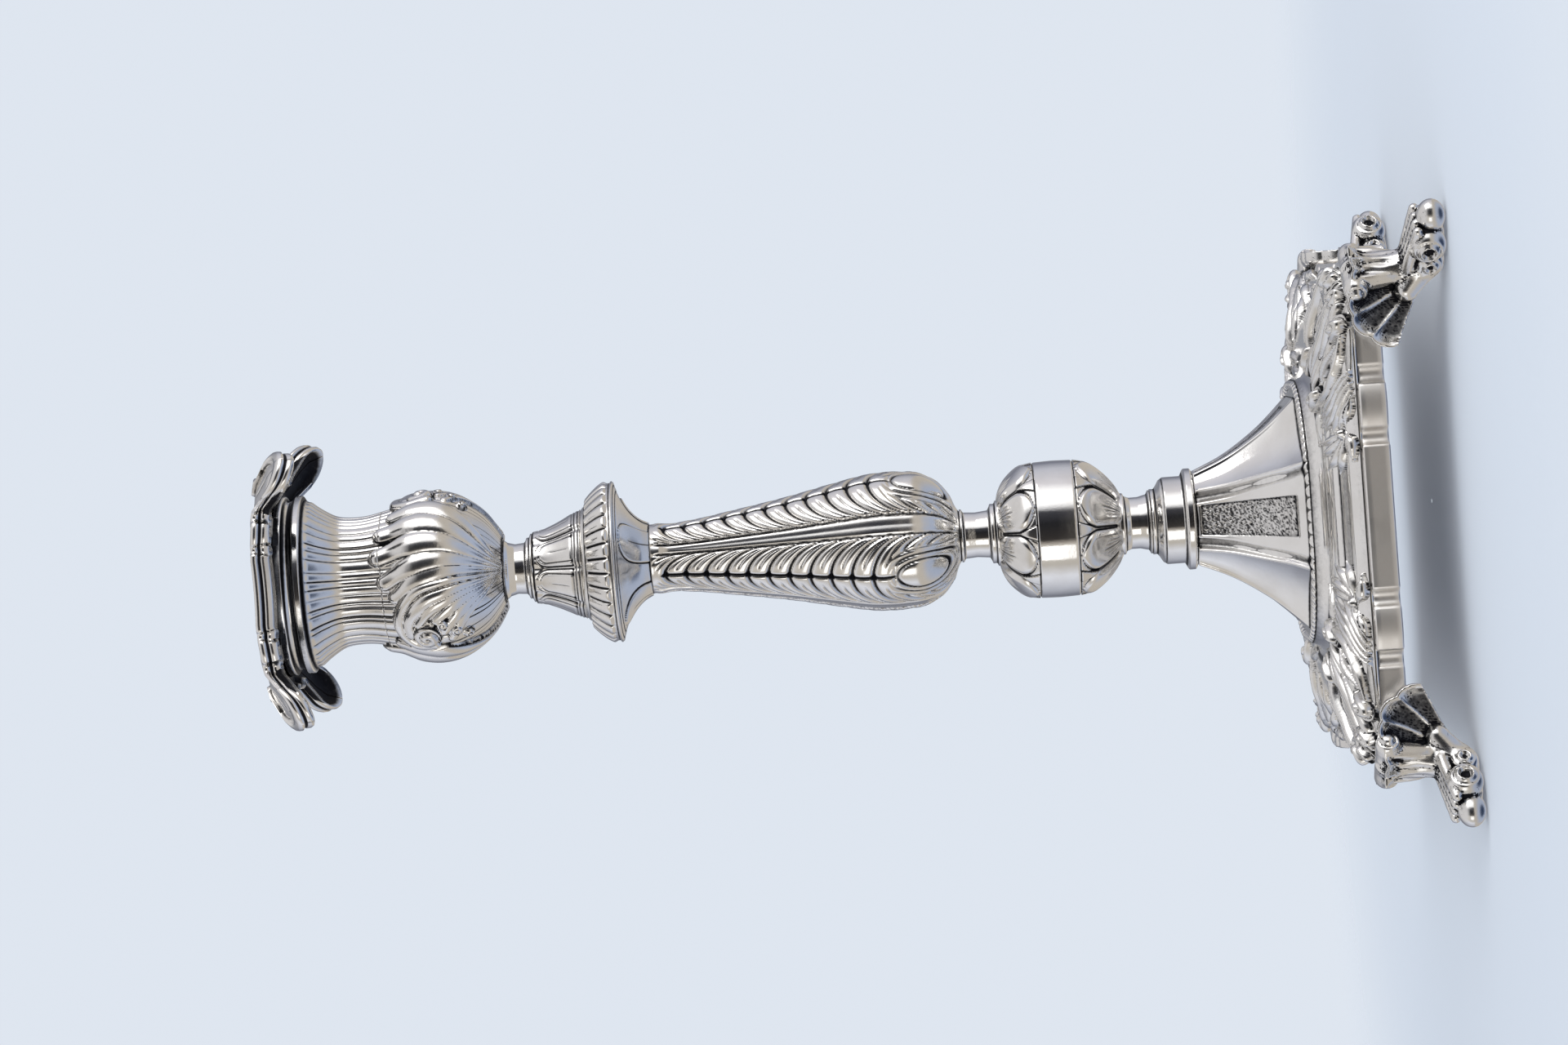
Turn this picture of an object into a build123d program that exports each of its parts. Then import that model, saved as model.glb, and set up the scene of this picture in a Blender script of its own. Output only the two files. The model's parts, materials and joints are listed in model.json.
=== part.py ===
"""Silver candlestick: a four-footed baroque base, a stem of stacked hollow pieces on a tie rod,
and a candle cup with a lift-off drip pan. Millimetres, +Z up, origin on the floor under the axis."""

import os
from math import cos, radians, sin, sqrt

from build123d import *

# Heights of the joint faces between the stacked pieces.
PLATE_UNDERSIDE = 15.0
PLATE_TOP = 22.6
MOULDING_TOP = 32.3
CONE_TOP = 57.2
COLLAR_TOP = 67.6
KNOP_BOTTOM = 75.4
BAND_BOTTOM = 85.6
BAND_TOP = 95.5
KNOP_TOP = 104.0
BALUSTER_BOTTOM = 113.6
BALUSTER_TOP = 188.6
FLANGE_TOP = 204.6
BULB_TOP = 216.4
BOWL_BOTTOM = 223.8
BOWL_FLOOR = 226.2
BOWL_TOP = 252.4
SLEEVE_TOP = 270.8
CUP_TOP = 277.4
PAN_TOP = 279.2

# Walls and the tie rod.
WALL = 1.3
DECK_THICKNESS = 1.8
ROD_RADIUS = 3.0
ROD_HOLE_RADIUS = 3.3
ROD_PAST_NUT = 2.5
NUT_ACROSS_FLATS = 10.0
NUT_HEIGHT = 5.0
NUT_CLEARANCE = 0.02
WASHER_THICKNESS = 1.5
BASE_WASHER_RADIUS = 8.0
CUP_WASHER_RADIUS = 6.5

# Candle socket, a tube that hangs in the cup.
CANDLE_RADIUS = 11.2
SOCKET_RADIUS = 12.2
SOCKET_DEPTH = 27.0
SOCKET_FLOOR = 1.2
SOCKET_LIP_RADIUS = 14.2
SOCKET_LIP_TOP = 280.8
SOCKET_CLEARANCE = 0.4

# Square base.
PLATE_HALF = 58.5
PLATE_RIM = 5.5
RECESS_CORNER = 12.0
PLATE_OPENING_HALF = 35.0
MOULDING_LEVELS = [  # height, half side, corner radius
    (PLATE_TOP, 54.8, 16.0),
    (24.4, 54.2, 18.0),
    (24.8, 50.4, 22.0),
    (25.8, 46.4, 26.0),
    (28.0, 42.0, 28.0),
    (28.5, 36.4, 28.0),
    (29.4, 32.6, 26.0),
    (MOULDING_TOP, 30.8, 25.0),
]
MOULDING_INSIDE = [
    (PLATE_TOP, 52.5, 14.0),
    (23.4, 51.8, 16.0),
    (24.2, 45.0, 24.0),
    (26.6, 40.0, 26.0),
    (27.0, 34.5, 26.0),
    (MOULDING_TOP - DECK_THICKNESS, 29.0, 24.0),
]
MOULDING_OPENING_HALF = 24.0
MOULDING_OPENING_PANEL = 10.5
CONE_LEVELS = [  # height, half side, half width of the flat side panel
    (MOULDING_TOP, 27.5, 12.4),
    (35.6, 24.7, 11.6),
    (39.6, 20.9, 10.5),
    (43.9, 17.7, 9.4),
    (49.3, 14.4, 8.1),
    (CONE_TOP - DECK_THICKNESS, 11.6, 7.2),
    (CONE_TOP, 10.9, 7.0),
]
CORNER_HOLLOW = 0.10  # sagitta of a concave corner panel, as a share of its width

# Corner ornaments and feet, measured out along the diagonal of the square.
ORNAMENT_START = 44.0
ORNAMENT_TOP = 27.4
ORNAMENT_HALF_WIDTH = 13.0
ORNAMENT_EDGE_HALF = 57.0
ORNAMENT_EDGE_CORNER = 8.0
PAW_TIP = 96.0
PAW_HALF_WIDTH = 4.4
VOLUTE_RADIUS = 4.2
VOLUTE_HALF_WIDTH = 5.4
ANKLE = 81.0
KNEE_THICKNESS = 4.5
LOBE_END = 42.0
CORNER_NAMES = ["back_right", "back_left", "front_left", "front_right"]

# Turned pieces, (radius, height) from the bottom up.
LOWER_COLLAR = [
    (12.2, CONE_TOP),
    (12.2, 59.8),
    (10.6, 59.8),
    (10.6, 64.5),
    (9.7, 65.5),
    (7.9, 66.4),
    (7.9, COLLAR_TOP),
]
LOWER_NECK = [(7.6, COLLAR_TOP), (6.4, 69.2), (6.2, 73.6), (7.1, 74.1), (7.1, KNOP_BOTTOM)]
LOWER_CALYX = [(7.5, KNOP_BOTTOM), (11.0, 78.1), (14.0, 80.9), (15.7, 83.5), (16.1, BAND_BOTTOM)]
BAND_RADIUS = 16.1
UPPER_CALYX = [(16.1, BAND_TOP), (15.3, 98.4), (13.5, 101.0), (11.0, 103.0), (8.4, KNOP_TOP)]
UPPER_NECK = [
    (7.7, KNOP_TOP),
    (7.7, 106.3),
    (5.8, 106.9),
    (5.4, 109.8),
    (5.6, 112.4),
    (6.4, 112.9),
    (6.4, BALUSTER_BOTTOM),
]
BALUSTER_TURN = 17.0  # degrees that the baluster stands turned on the rod, from the base's sides
BALUSTER_LEVELS = [  # height, radius at the ridges, bulge of the leaves beyond it
    (BALUSTER_BOTTOM, 5.9, 1.02),
    (116.4, 10.4, 1.03),
    (120.6, 14.2, 1.07),
    (126.6, 15.6, 1.09),
    (134.2, 15.6, 1.09),
    (143.0, 13.8, 1.09),
    (154.0, 11.6, 1.09),
    (168.0, 9.2, 1.08),
    (179.0, 7.8, 1.05),
    (184.0, 7.6, 1.03),
    (BALUSTER_TOP, 8.4, 1.02),
]
TRUMPET = [(8.4, BALUSTER_TOP), (9.4, 190.4), (11.7, 192.9), (15.3, 195.0), (19.5, 196.4)]
GADROON_BAND = [(19.5, 197.2), (18.8, 198.8), (17.4, 200.6), (15.1, 202.8), (13.2, FLANGE_TOP)]
GADROON_INSIDE = [(11.9, FLANGE_TOP), (13.9, 202.2), (16.2, 199.8), (17.4, 197.6)]
TRUMPET_INSIDE = [(17.4, 197.6), (14.4, 196.4), (10.7, 194.1), (8.3, 191.2), (7.2, BALUSTER_TOP)]
BULB = [(12.9, FLANGE_TOP), (12.0, 207.0), (10.4, 209.8), (9.0, 212.8), (8.2, BULB_TOP)]
CUP_NECK = [
    (8.1, BULB_TOP),
    (8.1, 217.8),
    (6.3, 218.5),
    (6.0, 221.0),
    (6.4, 223.0),
    (7.4, BOWL_BOTTOM),
]
BOWL = [
    (7.8, BOWL_BOTTOM),
    (10.6, 225.6),
    (14.5, 228.5),
    (17.2, 232.1),
    (19.2, 236.4),
    (19.7, 240.4),
    (19.0, 245.0),
    (17.0, 249.6),
    (16.0, BOWL_TOP),
]
BOWL_INSIDE = [
    (14.7, BOWL_TOP),
    (15.7, 249.6),
    (17.6, 245.0),
    (18.3, 240.4),
    (17.8, 236.6),
    (15.7, 232.6),
    (12.8, 229.3),
    (8.8, BOWL_FLOOR),
]
SLEEVE = [
    (16.0, BOWL_TOP),
    (15.2, 256.0),
    (15.0, 259.5),
    (15.6, 263.5),
    (17.6, 267.0),
    (20.6, SLEEVE_TOP),
]
CUP_RIM = [
    (20.6, SLEEVE_TOP),
    (21.4, 271.5),
    (21.4, 273.1),
    (20.5, 273.7),
    (20.5, 275.0),
    (21.7, 275.5),
    (21.7, CUP_TOP),
]

# Drip pan: a dished plate whose corners droop as round leaves.
PAN_HOLE_RADIUS = 12.25
PAN_UPPER_FACE = [(20.5, PAN_TOP), (24.0, 280.2), (27.5, 281.0), (32.0, 279.8), (38.5, 276.2), (48.0, 268.9)]
PAN_SIDE_HALF = 26.4
PAN_TIP_HALF = 31.2

os.makedirs("parts", exist_ok=True)


def write(piece, name):
    """Labels a finished piece and writes it as its own node."""
    piece.part.label = name
    export_step(piece.part, f"parts/{name}.step")


def turned_outline(*runs):
    """Turns a closed outline about the axis. A run of two points is a line, a longer one a curve."""
    with BuildSketch(Plane.XZ) as outline:
        with BuildLine():
            for run in runs:
                if len(run) == 2:
                    Line(*run)
                else:
                    Spline(*run)
        make_face()
    revolve(outline.sketch, axis=Axis.Z)


def turned_ring(outline, bore):
    """Turns a ring of straight steps: the outline runs up the outside, the bore is a plain hole."""
    corners = [(bore, outline[0][1]), *outline, (bore, outline[-1][1])]
    with BuildSketch(Plane.XZ) as section:
        with BuildLine():
            Polyline(*corners, close=True)
        make_face()
    revolve(section.sketch, axis=Axis.Z)


def turned_shell(outline):
    """Turns a thin wall that follows a curved outline from its lower to its upper joint face."""
    inside = [(radius - WALL, height) for radius, height in reversed(outline)]
    turned_outline(outline, (outline[-1], inside[0]), inside, (inside[-1], outline[0]))


def disc(radius, bottom, top, mode=Mode.ADD):
    """A plain cylinder on the axis between two heights."""
    with BuildSketch(Plane.XY.offset(bottom)) as circle:
        Circle(radius)
    extrude(circle.sketch, amount=top - bottom, mode=mode)


def rounded_square(height, half, corner):
    """One level of a square moulding."""
    with BuildSketch(Plane.XY.offset(height)) as level:
        RectangleRounded(2 * half, 2 * half, corner)
    return level.sketch


def panelled_section(height, half, panel):
    """One level of the cone: four flat sides joined by four hollow corners."""
    with BuildSketch(Plane.XY.offset(height)) as level:
        with BuildLine():
            for quarter in range(4):
                turn = 90 * quarter
                start = Vector(half, -panel).rotate(Axis.Z, turn)
                end = Vector(half, panel).rotate(Axis.Z, turn)
                following = Vector(panel, half).rotate(Axis.Z, turn)
                Line(start, end)
                SagittaArc(end, following, CORNER_HOLLOW * (following - end).length)
        make_face()
    return level.sketch


def lobed_section(height, radius, bulge):
    """One level of the baluster: four bowed leaves, meeting at four ridges."""
    leaf = radius * bulge * sqrt(0.5)
    with BuildSketch(Plane.XY.offset(height)) as level:
        with BuildLine():
            for quarter in range(4):
                turn = BALUSTER_TURN + 90 * quarter
                ThreePointArc(
                    Vector(radius, 0).rotate(Axis.Z, turn),
                    Vector(leaf, leaf).rotate(Axis.Z, turn),
                    Vector(0, radius).rotate(Axis.Z, turn),
                )
        make_face()
    return level.sketch


def cusped_square(height, side, centre, lobe, notch, corner_out, corner_start, tip):
    """A square whose sides step back twice on the way to each corner, by small round notches.

    side is half the width across the flats, centre the half length of the middle stretch, lobe the
    length of the bowed stretch beside it and notch the width of a notch. The corner's arc starts
    corner_out from the middle and corner_start along the side, and reaches tip in both directions.
    """
    depth = 0.45 * notch
    first = centre + notch
    second = first + lobe
    third = second + notch
    last_side = side - 1.3 * depth
    arcs = [
        ((side, centre), (side - depth, centre + 0.5 * notch), (side - 0.2 * depth, first)),
        (
            (side - 0.2 * depth, first),
            (side + 0.2 * depth, first + 0.5 * lobe),
            (side - 0.4 * depth, second),
        ),
        ((side - 0.4 * depth, second), (side - 1.8 * depth, second + 0.5 * notch), (last_side, third)),
    ]
    with BuildSketch(Plane.XY.offset(height)) as level:
        with BuildLine():
            for quarter in range(4):
                turn = 90 * quarter
                Line(*(Vector(side, along).rotate(Axis.Z, turn) for along in (-centre, centre)))
                for sign in (-1, 1):
                    for arc in arcs:
                        points = [Vector(out, sign * along).rotate(Axis.Z, turn) for out, along in arc]
                        ThreePointArc(*points)
                    ends = ((last_side, third), (corner_out, corner_start))
                    Line(*(Vector(out, sign * along).rotate(Axis.Z, turn) for out, along in ends))
                ThreePointArc(
                    Vector(corner_out, corner_start).rotate(Axis.Z, turn),
                    Vector(tip, tip).rotate(Axis.Z, turn),
                    Vector(corner_start, corner_out).rotate(Axis.Z, turn),
                )
        make_face()
    return level.sketch


def diagonal_plane(quarter):
    """The upright plane through the axis and one corner: x runs outwards, y runs up."""
    angle = radians(45 + 90 * quarter)
    return Plane(origin=(0, 0, 0), x_dir=(cos(angle), sin(angle), 0), z_dir=(sin(angle), -cos(angle), 0))


def upright(runs, plane, half_width):
    """Extrudes a closed outline to both sides of an upright plane. A run of three points is an arc."""
    with BuildSketch(plane) as section:
        with BuildLine():
            for run in runs:
                if len(run) == 2:
                    Line(*run)
                elif len(run) == 3:
                    ThreePointArc(*run)
                else:
                    Spline(*run)
        make_face()
    extrude(section.sketch, amount=half_width, both=True)


def knee_lobe(outward, sign):
    """One lobe of a foot's knee, spread along a side face under the plate's edge."""
    plane = Plane(
        origin=Vector(PLATE_HALF - 0.5, 0, 0).rotate(Axis.Z, outward),
        x_dir=Vector(0, sign, 0).rotate(Axis.Z, outward),
        z_dir=Vector(sign, 0, 0).rotate(Axis.Z, outward),
    )
    tip = (LOBE_END, PLATE_UNDERSIDE)
    shoulder = (56.5, PLATE_UNDERSIDE)
    shin = (57.0, 6.5)
    with BuildSketch(plane) as lobe:
        with BuildLine():
            Line(tip, shoulder)
            Line(shoulder, shin)
            ThreePointArc(shin, (50.5, 10.5), tip)
        make_face()
    extrude(lobe.sketch, amount=-KNEE_THICKNESS * sign)


def foot_body(quarter):
    """A foot: a flat-soled paw with a volute, an ankle, and a knee of two lobes."""
    plane = diagonal_plane(quarter)
    volute_start = PAW_TIP - VOLUTE_RADIUS
    shin = (ANKLE + 2.5, 6.6)
    knee_front = (ANKLE - 1.5, PLATE_UNDERSIDE)
    knee_back = (ANKLE - 12.0, PLATE_UNDERSIDE)
    heel = (ANKLE - 2.5, 0.0)
    paw = [
        [heel, (volute_start, 0.0)],
        [(volute_start, 0.0), (PAW_TIP, VOLUTE_RADIUS), (volute_start, 2 * VOLUTE_RADIUS)],
        [(volute_start, 2 * VOLUTE_RADIUS), (PAW_TIP - 8.0, 6.2), shin],
        [shin, (ANKLE - 0.8, 10.2), knee_front],
        [knee_front, knee_back],
        [knee_back, (ANKLE - 8.5, 6.0), heel],
    ]
    upright(paw, plane, PAW_HALF_WIDTH)
    with BuildSketch(plane) as volute:
        with Locations((volute_start, VOLUTE_RADIUS)):
            Circle(VOLUTE_RADIUS)
    extrude(volute.sketch, amount=VOLUTE_HALF_WIDTH, both=True)
    knee_lobe(90 * quarter, 1)
    knee_lobe(90 * quarter + 90, -1)


def corner_ornament_body(quarter):
    """A leaf that rises from the plate's corner towards the cone, cut to the plate's outline."""
    scroll = [(76.5, PLATE_TOP), (77.6, 24.6), (75.0, 26.4), (70.0, 25.9), (64.0, 25.0)]
    leaf = [scroll[-1], (56.0, 25.0), (ORNAMENT_START, ORNAMENT_TOP)]
    foot = (ORNAMENT_START, PLATE_TOP)
    outline = [[foot, scroll[0]], scroll, leaf, [leaf[-1], foot]]
    upright(outline, diagonal_plane(quarter), ORNAMENT_HALF_WIDTH)
    outer_edge = rounded_square(PLATE_TOP, ORNAMENT_EDGE_HALF, ORNAMENT_EDGE_CORNER)
    extrude(outer_edge, amount=MOULDING_TOP - PLATE_TOP, mode=Mode.INTERSECT)


def hexagon_nut(bottom):
    """A plain hexagon nut on the rod, bottom face at the given height."""
    with BuildSketch(Plane.XY.offset(bottom)) as nut:
        RegularPolygon(NUT_ACROSS_FLATS / 2, 6, major_radius=False)
        Circle(ROD_RADIUS + NUT_CLEARANCE, mode=Mode.SUBTRACT)
    extrude(nut.sketch, amount=NUT_HEIGHT)


def washer(bottom, radius):
    """A flat washer on the rod, bottom face at the given height."""
    with BuildSketch(Plane.XY.offset(bottom)) as ring:
        Circle(radius)
        Circle(ROD_HOLE_RADIUS, mode=Mode.SUBTRACT)
    extrude(ring.sketch, amount=WASHER_THICKNESS)


# Feet and corner ornaments, one of each at every corner.
for quarter, corner in enumerate(CORNER_NAMES):
    with BuildPart() as foot:
        foot_body(quarter)
    write(foot, f"foot_{corner}")

    with BuildPart() as corner_acanthus:
        corner_ornament_body(quarter)
    write(corner_acanthus, f"corner_acanthus_{corner}")

# Square plate: a cusped edge that stands as a deep rim round an open middle.
with BuildPart() as base_plate:
    edge = cusped_square(
        PLATE_UNDERSIDE,
        PLATE_HALF,
        centre=16.5,
        lobe=10.0,
        notch=4.2,
        corner_out=56.0,
        corner_start=50.0,
        tip=54.4,
    )
    extrude(edge, amount=PLATE_TOP - PLATE_UNDERSIDE)
    recess = rounded_square(PLATE_UNDERSIDE, PLATE_HALF - PLATE_RIM, RECESS_CORNER)
    extrude(recess, amount=PLATE_TOP - DECK_THICKNESS - PLATE_UNDERSIDE, mode=Mode.SUBTRACT)
    opening = rounded_square(PLATE_UNDERSIDE, PLATE_OPENING_HALF, 6.0)
    extrude(opening, amount=PLATE_TOP - PLATE_UNDERSIDE, mode=Mode.SUBTRACT)
write(base_plate, "base_plate")

# Stepped mouldings along the four sides, cut away at the corners for the ornaments.
with BuildPart() as base_moulding:
    loft([rounded_square(*level) for level in MOULDING_LEVELS], ruled=True)
    loft([rounded_square(*level) for level in MOULDING_INSIDE], ruled=True, mode=Mode.SUBTRACT)
    opening = panelled_section(MOULDING_TOP, MOULDING_OPENING_HALF, MOULDING_OPENING_PANEL)
    extrude(opening, amount=-DECK_THICKNESS, mode=Mode.SUBTRACT)
    for quarter in range(4):
        with BuildSketch(diagonal_plane(quarter)) as pocket:
            with Locations((ORNAMENT_START, PLATE_TOP)):
                Rectangle(40.0, 20.0, align=(Align.MIN, Align.MIN))
        extrude(pocket.sketch, amount=ORNAMENT_HALF_WIDTH, both=True, mode=Mode.SUBTRACT)
write(base_moulding, "base_moulding")

# Eight-panelled cone, with a deck at its top that the tie rod pulls on.
with BuildPart() as base_cone:
    loft([panelled_section(*level) for level in CONE_LEVELS])
    inner_levels = [(height, half - WALL, panel - 0.4 * WALL) for height, half, panel in CONE_LEVELS[:-1]]
    loft([panelled_section(*level) for level in inner_levels], mode=Mode.SUBTRACT)
    disc(ROD_HOLE_RADIUS, CONE_TOP - DECK_THICKNESS, CONE_TOP, mode=Mode.SUBTRACT)
write(base_cone, "base_cone")

# Turned rings and necks.
with BuildPart() as lower_collar:
    turned_ring(LOWER_COLLAR, ROD_HOLE_RADIUS)
write(lower_collar, "lower_collar")

with BuildPart() as lower_neck:
    turned_ring(LOWER_NECK, ROD_HOLE_RADIUS)
write(lower_neck, "lower_neck")

with BuildPart() as upper_neck:
    turned_ring(UPPER_NECK, ROD_HOLE_RADIUS)
write(upper_neck, "upper_neck")

with BuildPart() as cup_neck:
    turned_ring(CUP_NECK, ROD_HOLE_RADIUS)
write(cup_neck, "cup_neck")

# Knop: a plain band between two calyces.
with BuildPart() as knop_lower_calyx:
    turned_shell(LOWER_CALYX)
write(knop_lower_calyx, "knop_lower_calyx")

with BuildPart() as knop_band:
    turned_ring([(BAND_RADIUS, BAND_BOTTOM), (BAND_RADIUS, BAND_TOP)], BAND_RADIUS - WALL)
write(knop_band, "knop_band")

with BuildPart() as knop_upper_calyx:
    turned_shell(UPPER_CALYX)
write(knop_upper_calyx, "knop_upper_calyx")

# Four-leaved baluster, hollow between a thick foot and head that centre it on the rod.
with BuildPart() as baluster:
    loft([lobed_section(*level) for level in BALUSTER_LEVELS])
    inner_levels = [(height, radius - WALL, bulge) for height, radius, bulge in BALUSTER_LEVELS[1:-1]]
    loft([lobed_section(*level) for level in inner_levels], mode=Mode.SUBTRACT)
    disc(ROD_HOLE_RADIUS, BALUSTER_BOTTOM, BALUSTER_TOP, mode=Mode.SUBTRACT)
write(baluster, "baluster")

# Trumpet flange with the gadroon band on its upper side, and the fluted bulb over it.
with BuildPart() as gadroon_flange:
    turned_outline(
        TRUMPET,
        (TRUMPET[-1], GADROON_BAND[0]),
        GADROON_BAND,
        (GADROON_BAND[-1], GADROON_INSIDE[0]),
        GADROON_INSIDE,
        TRUMPET_INSIDE,
        (TRUMPET_INSIDE[-1], TRUMPET[0]),
    )
write(gadroon_flange, "gadroon_flange")

with BuildPart() as calyx_bulb:
    turned_shell(BULB)
write(calyx_bulb, "calyx_bulb")

# Candle cup: a bowl with a floor for the rod's nut, a reeded sleeve, and the rings of the mouth.
with BuildPart() as cup_bowl:
    turned_outline(
        BOWL,
        (BOWL[-1], BOWL_INSIDE[0]),
        BOWL_INSIDE,
        (BOWL_INSIDE[-1], (ROD_HOLE_RADIUS, BOWL_FLOOR)),
        ((ROD_HOLE_RADIUS, BOWL_FLOOR), (ROD_HOLE_RADIUS, BOWL_BOTTOM)),
        ((ROD_HOLE_RADIUS, BOWL_BOTTOM), BOWL[0]),
    )
write(cup_bowl, "cup_bowl")

with BuildPart() as cup_sleeve:
    turned_shell(SLEEVE)
write(cup_sleeve, "cup_sleeve")

with BuildPart() as cup_rim:
    turned_ring(CUP_RIM, SOCKET_RADIUS + SOCKET_CLEARANCE)
write(cup_rim, "cup_rim")

# Drip pan and the candle socket that lifts out with it.
with BuildPart() as drip_pan:
    pan_under_face = [(radius, height - PAN_TOP + CUP_TOP) for radius, height in reversed(PAN_UPPER_FACE)]
    turned_outline(
        ((PAN_HOLE_RADIUS, PAN_TOP), PAN_UPPER_FACE[0]),
        PAN_UPPER_FACE,
        (PAN_UPPER_FACE[-1], pan_under_face[0]),
        pan_under_face,
        (pan_under_face[-1], (PAN_HOLE_RADIUS, CUP_TOP)),
        ((PAN_HOLE_RADIUS, CUP_TOP), (PAN_HOLE_RADIUS, PAN_TOP)),
    )
    edge = cusped_square(
        CUP_TOP - 12.0,
        PAN_SIDE_HALF,
        centre=9.0,
        lobe=5.0,
        notch=2.6,
        corner_out=29.8,
        corner_start=22.4,
        tip=PAN_TIP_HALF,
    )
    extrude(edge, amount=20.0, mode=Mode.INTERSECT)
write(drip_pan, "drip_pan")

with BuildPart() as candle_socket:
    socket_floor_top = SOCKET_LIP_TOP - SOCKET_DEPTH
    turned_ring(
        [
            (SOCKET_RADIUS, socket_floor_top - SOCKET_FLOOR),
            (SOCKET_RADIUS, PAN_TOP),
            (SOCKET_LIP_RADIUS, PAN_TOP),
            (SOCKET_LIP_RADIUS, SOCKET_LIP_TOP),
        ],
        CANDLE_RADIUS,
    )
    disc(CANDLE_RADIUS, socket_floor_top - SOCKET_FLOOR, socket_floor_top)
write(candle_socket, "candle_socket")

# Tie rod and its fastenings: it clamps everything between the cone's deck and the bowl's floor.
base_washer_bottom = CONE_TOP - DECK_THICKNESS - WASHER_THICKNESS
base_nut_bottom = base_washer_bottom - NUT_HEIGHT
cup_nut_bottom = BOWL_FLOOR + WASHER_THICKNESS

with BuildPart() as tie_rod:
    disc(ROD_RADIUS, base_nut_bottom - ROD_PAST_NUT, cup_nut_bottom + NUT_HEIGHT + ROD_PAST_NUT)
write(tie_rod, "tie_rod")

with BuildPart() as base_washer:
    washer(base_washer_bottom, BASE_WASHER_RADIUS)
write(base_washer, "base_washer")

with BuildPart() as base_nut:
    hexagon_nut(base_nut_bottom)
write(base_nut, "base_nut")

with BuildPart() as cup_washer:
    washer(BOWL_FLOOR, CUP_WASHER_RADIUS)
write(cup_washer, "cup_washer")

with BuildPart() as cup_nut:
    hexagon_nut(cup_nut_bottom)
write(cup_nut, "cup_nut")
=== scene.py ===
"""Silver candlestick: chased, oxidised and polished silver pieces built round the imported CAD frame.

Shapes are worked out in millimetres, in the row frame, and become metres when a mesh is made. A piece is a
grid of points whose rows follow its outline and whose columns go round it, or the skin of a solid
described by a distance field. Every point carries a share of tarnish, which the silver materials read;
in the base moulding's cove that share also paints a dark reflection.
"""

import json
from math import pi, radians

import bpy
import numpy as np
from mathutils import Matrix, Vector


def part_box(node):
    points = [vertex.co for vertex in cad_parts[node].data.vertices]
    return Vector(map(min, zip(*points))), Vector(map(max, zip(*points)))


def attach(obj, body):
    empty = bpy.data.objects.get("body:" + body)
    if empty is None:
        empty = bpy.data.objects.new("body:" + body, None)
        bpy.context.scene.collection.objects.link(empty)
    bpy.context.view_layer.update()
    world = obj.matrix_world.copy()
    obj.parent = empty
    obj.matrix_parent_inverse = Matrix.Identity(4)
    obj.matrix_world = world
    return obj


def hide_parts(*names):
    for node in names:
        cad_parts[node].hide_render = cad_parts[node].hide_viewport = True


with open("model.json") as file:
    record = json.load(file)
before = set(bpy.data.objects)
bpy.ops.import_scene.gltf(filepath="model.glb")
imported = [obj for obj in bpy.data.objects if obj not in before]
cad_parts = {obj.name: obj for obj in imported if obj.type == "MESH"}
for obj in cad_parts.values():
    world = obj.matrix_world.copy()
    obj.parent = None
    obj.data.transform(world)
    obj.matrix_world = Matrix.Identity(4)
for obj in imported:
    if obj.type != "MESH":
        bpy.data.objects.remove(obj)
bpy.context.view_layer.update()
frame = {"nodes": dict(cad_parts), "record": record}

MM = 0.001
TARNISH = "tarnish"
ROW_STEP = 0.28  # spacing of mesh rows on a chased surface
PLAIN_STEP = 0.5  # spacing of mesh rows on a plain surface

record = frame["record"]
slot_of = {part["node"]: part["material_slot"] for part in record["subparts"]}
body_of = {node: body for body, nodes in record["behaviour"]["bodies"].items() for node in nodes}


def levels(node):
    """The lowest and highest level of a CAD node, in millimetres."""
    low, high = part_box(node)
    return low.z / MM, high.z / MM


def reach(node):
    """How far a CAD node reaches from the axis along +X, in millimetres."""
    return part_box(node)[1].x / MM


# ---------------------------------------------------------------- numbers and outlines


def ramp(low, high, value):
    """0 below low, 1 above high, smooth between."""
    share = np.clip((value - low) / (high - low), 0, 1)
    return share * share * (3 - 2 * share)


def cut(distance, width):
    """A soft groove: 1 on the line, falling to nothing a little beyond the width."""
    return np.exp(-((distance / width) ** 2))


def centred(value, period):
    """The value's distance from the nearest multiple of the period, with its sign."""
    return (value + period / 2) % period - period / 2


def curve(points, step):
    """A smooth line through points, cut into equal steps."""
    points = np.array(points, float)
    lengths = np.linalg.norm(np.diff(points, axis=0), axis=1)
    knots = np.concatenate([[0], np.cumsum(lengths)])
    slopes = np.gradient(points, knots, axis=0)
    where = np.linspace(0, knots[-1], max(3, int(knots[-1] / step) + 1))
    index = np.clip(np.searchsorted(knots, where, side="right") - 1, 0, len(lengths) - 1)
    length = lengths[index][:, None]
    share = ((where - knots[index]) / lengths[index])[:, None]
    start, end = points[index], points[index + 1]
    return (
        (2 * share**3 - 3 * share**2 + 1) * start
        + (share**3 - 2 * share**2 + share) * length * slopes[index]
        + (3 * share**2 - 2 * share**3) * end
        + (share**3 - share**2) * length * slopes[index + 1]
    )


def stepped(points, radius, step=PLAIN_STEP):
    """A line of straight runs whose inner corners are rounded to the radius."""
    points = [np.array(point, float) for point in points]
    line = [points[0]]
    for before, corner, after in zip(points, points[1:], points[2:]):
        reach_in, reach_out = before - corner, after - corner
        back = min(radius, 0.45 * np.linalg.norm(reach_in), 0.45 * np.linalg.norm(reach_out))
        start = corner + back * reach_in / np.linalg.norm(reach_in)
        end = corner + back * reach_out / np.linalg.norm(reach_out)
        for share in np.linspace(0, 1, 6):
            line.append((1 - share) ** 2 * start + 2 * share * (1 - share) * corner + share**2 * end)
    line.append(points[-1])
    filled = [line[0]]
    for start, end in zip(line, line[1:]):
        pieces = max(1, int(np.linalg.norm(end - start) / step))
        filled.extend(start + (end - start) * share / pieces for share in range(1, pieces + 1))
    return np.array(filled)


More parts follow.
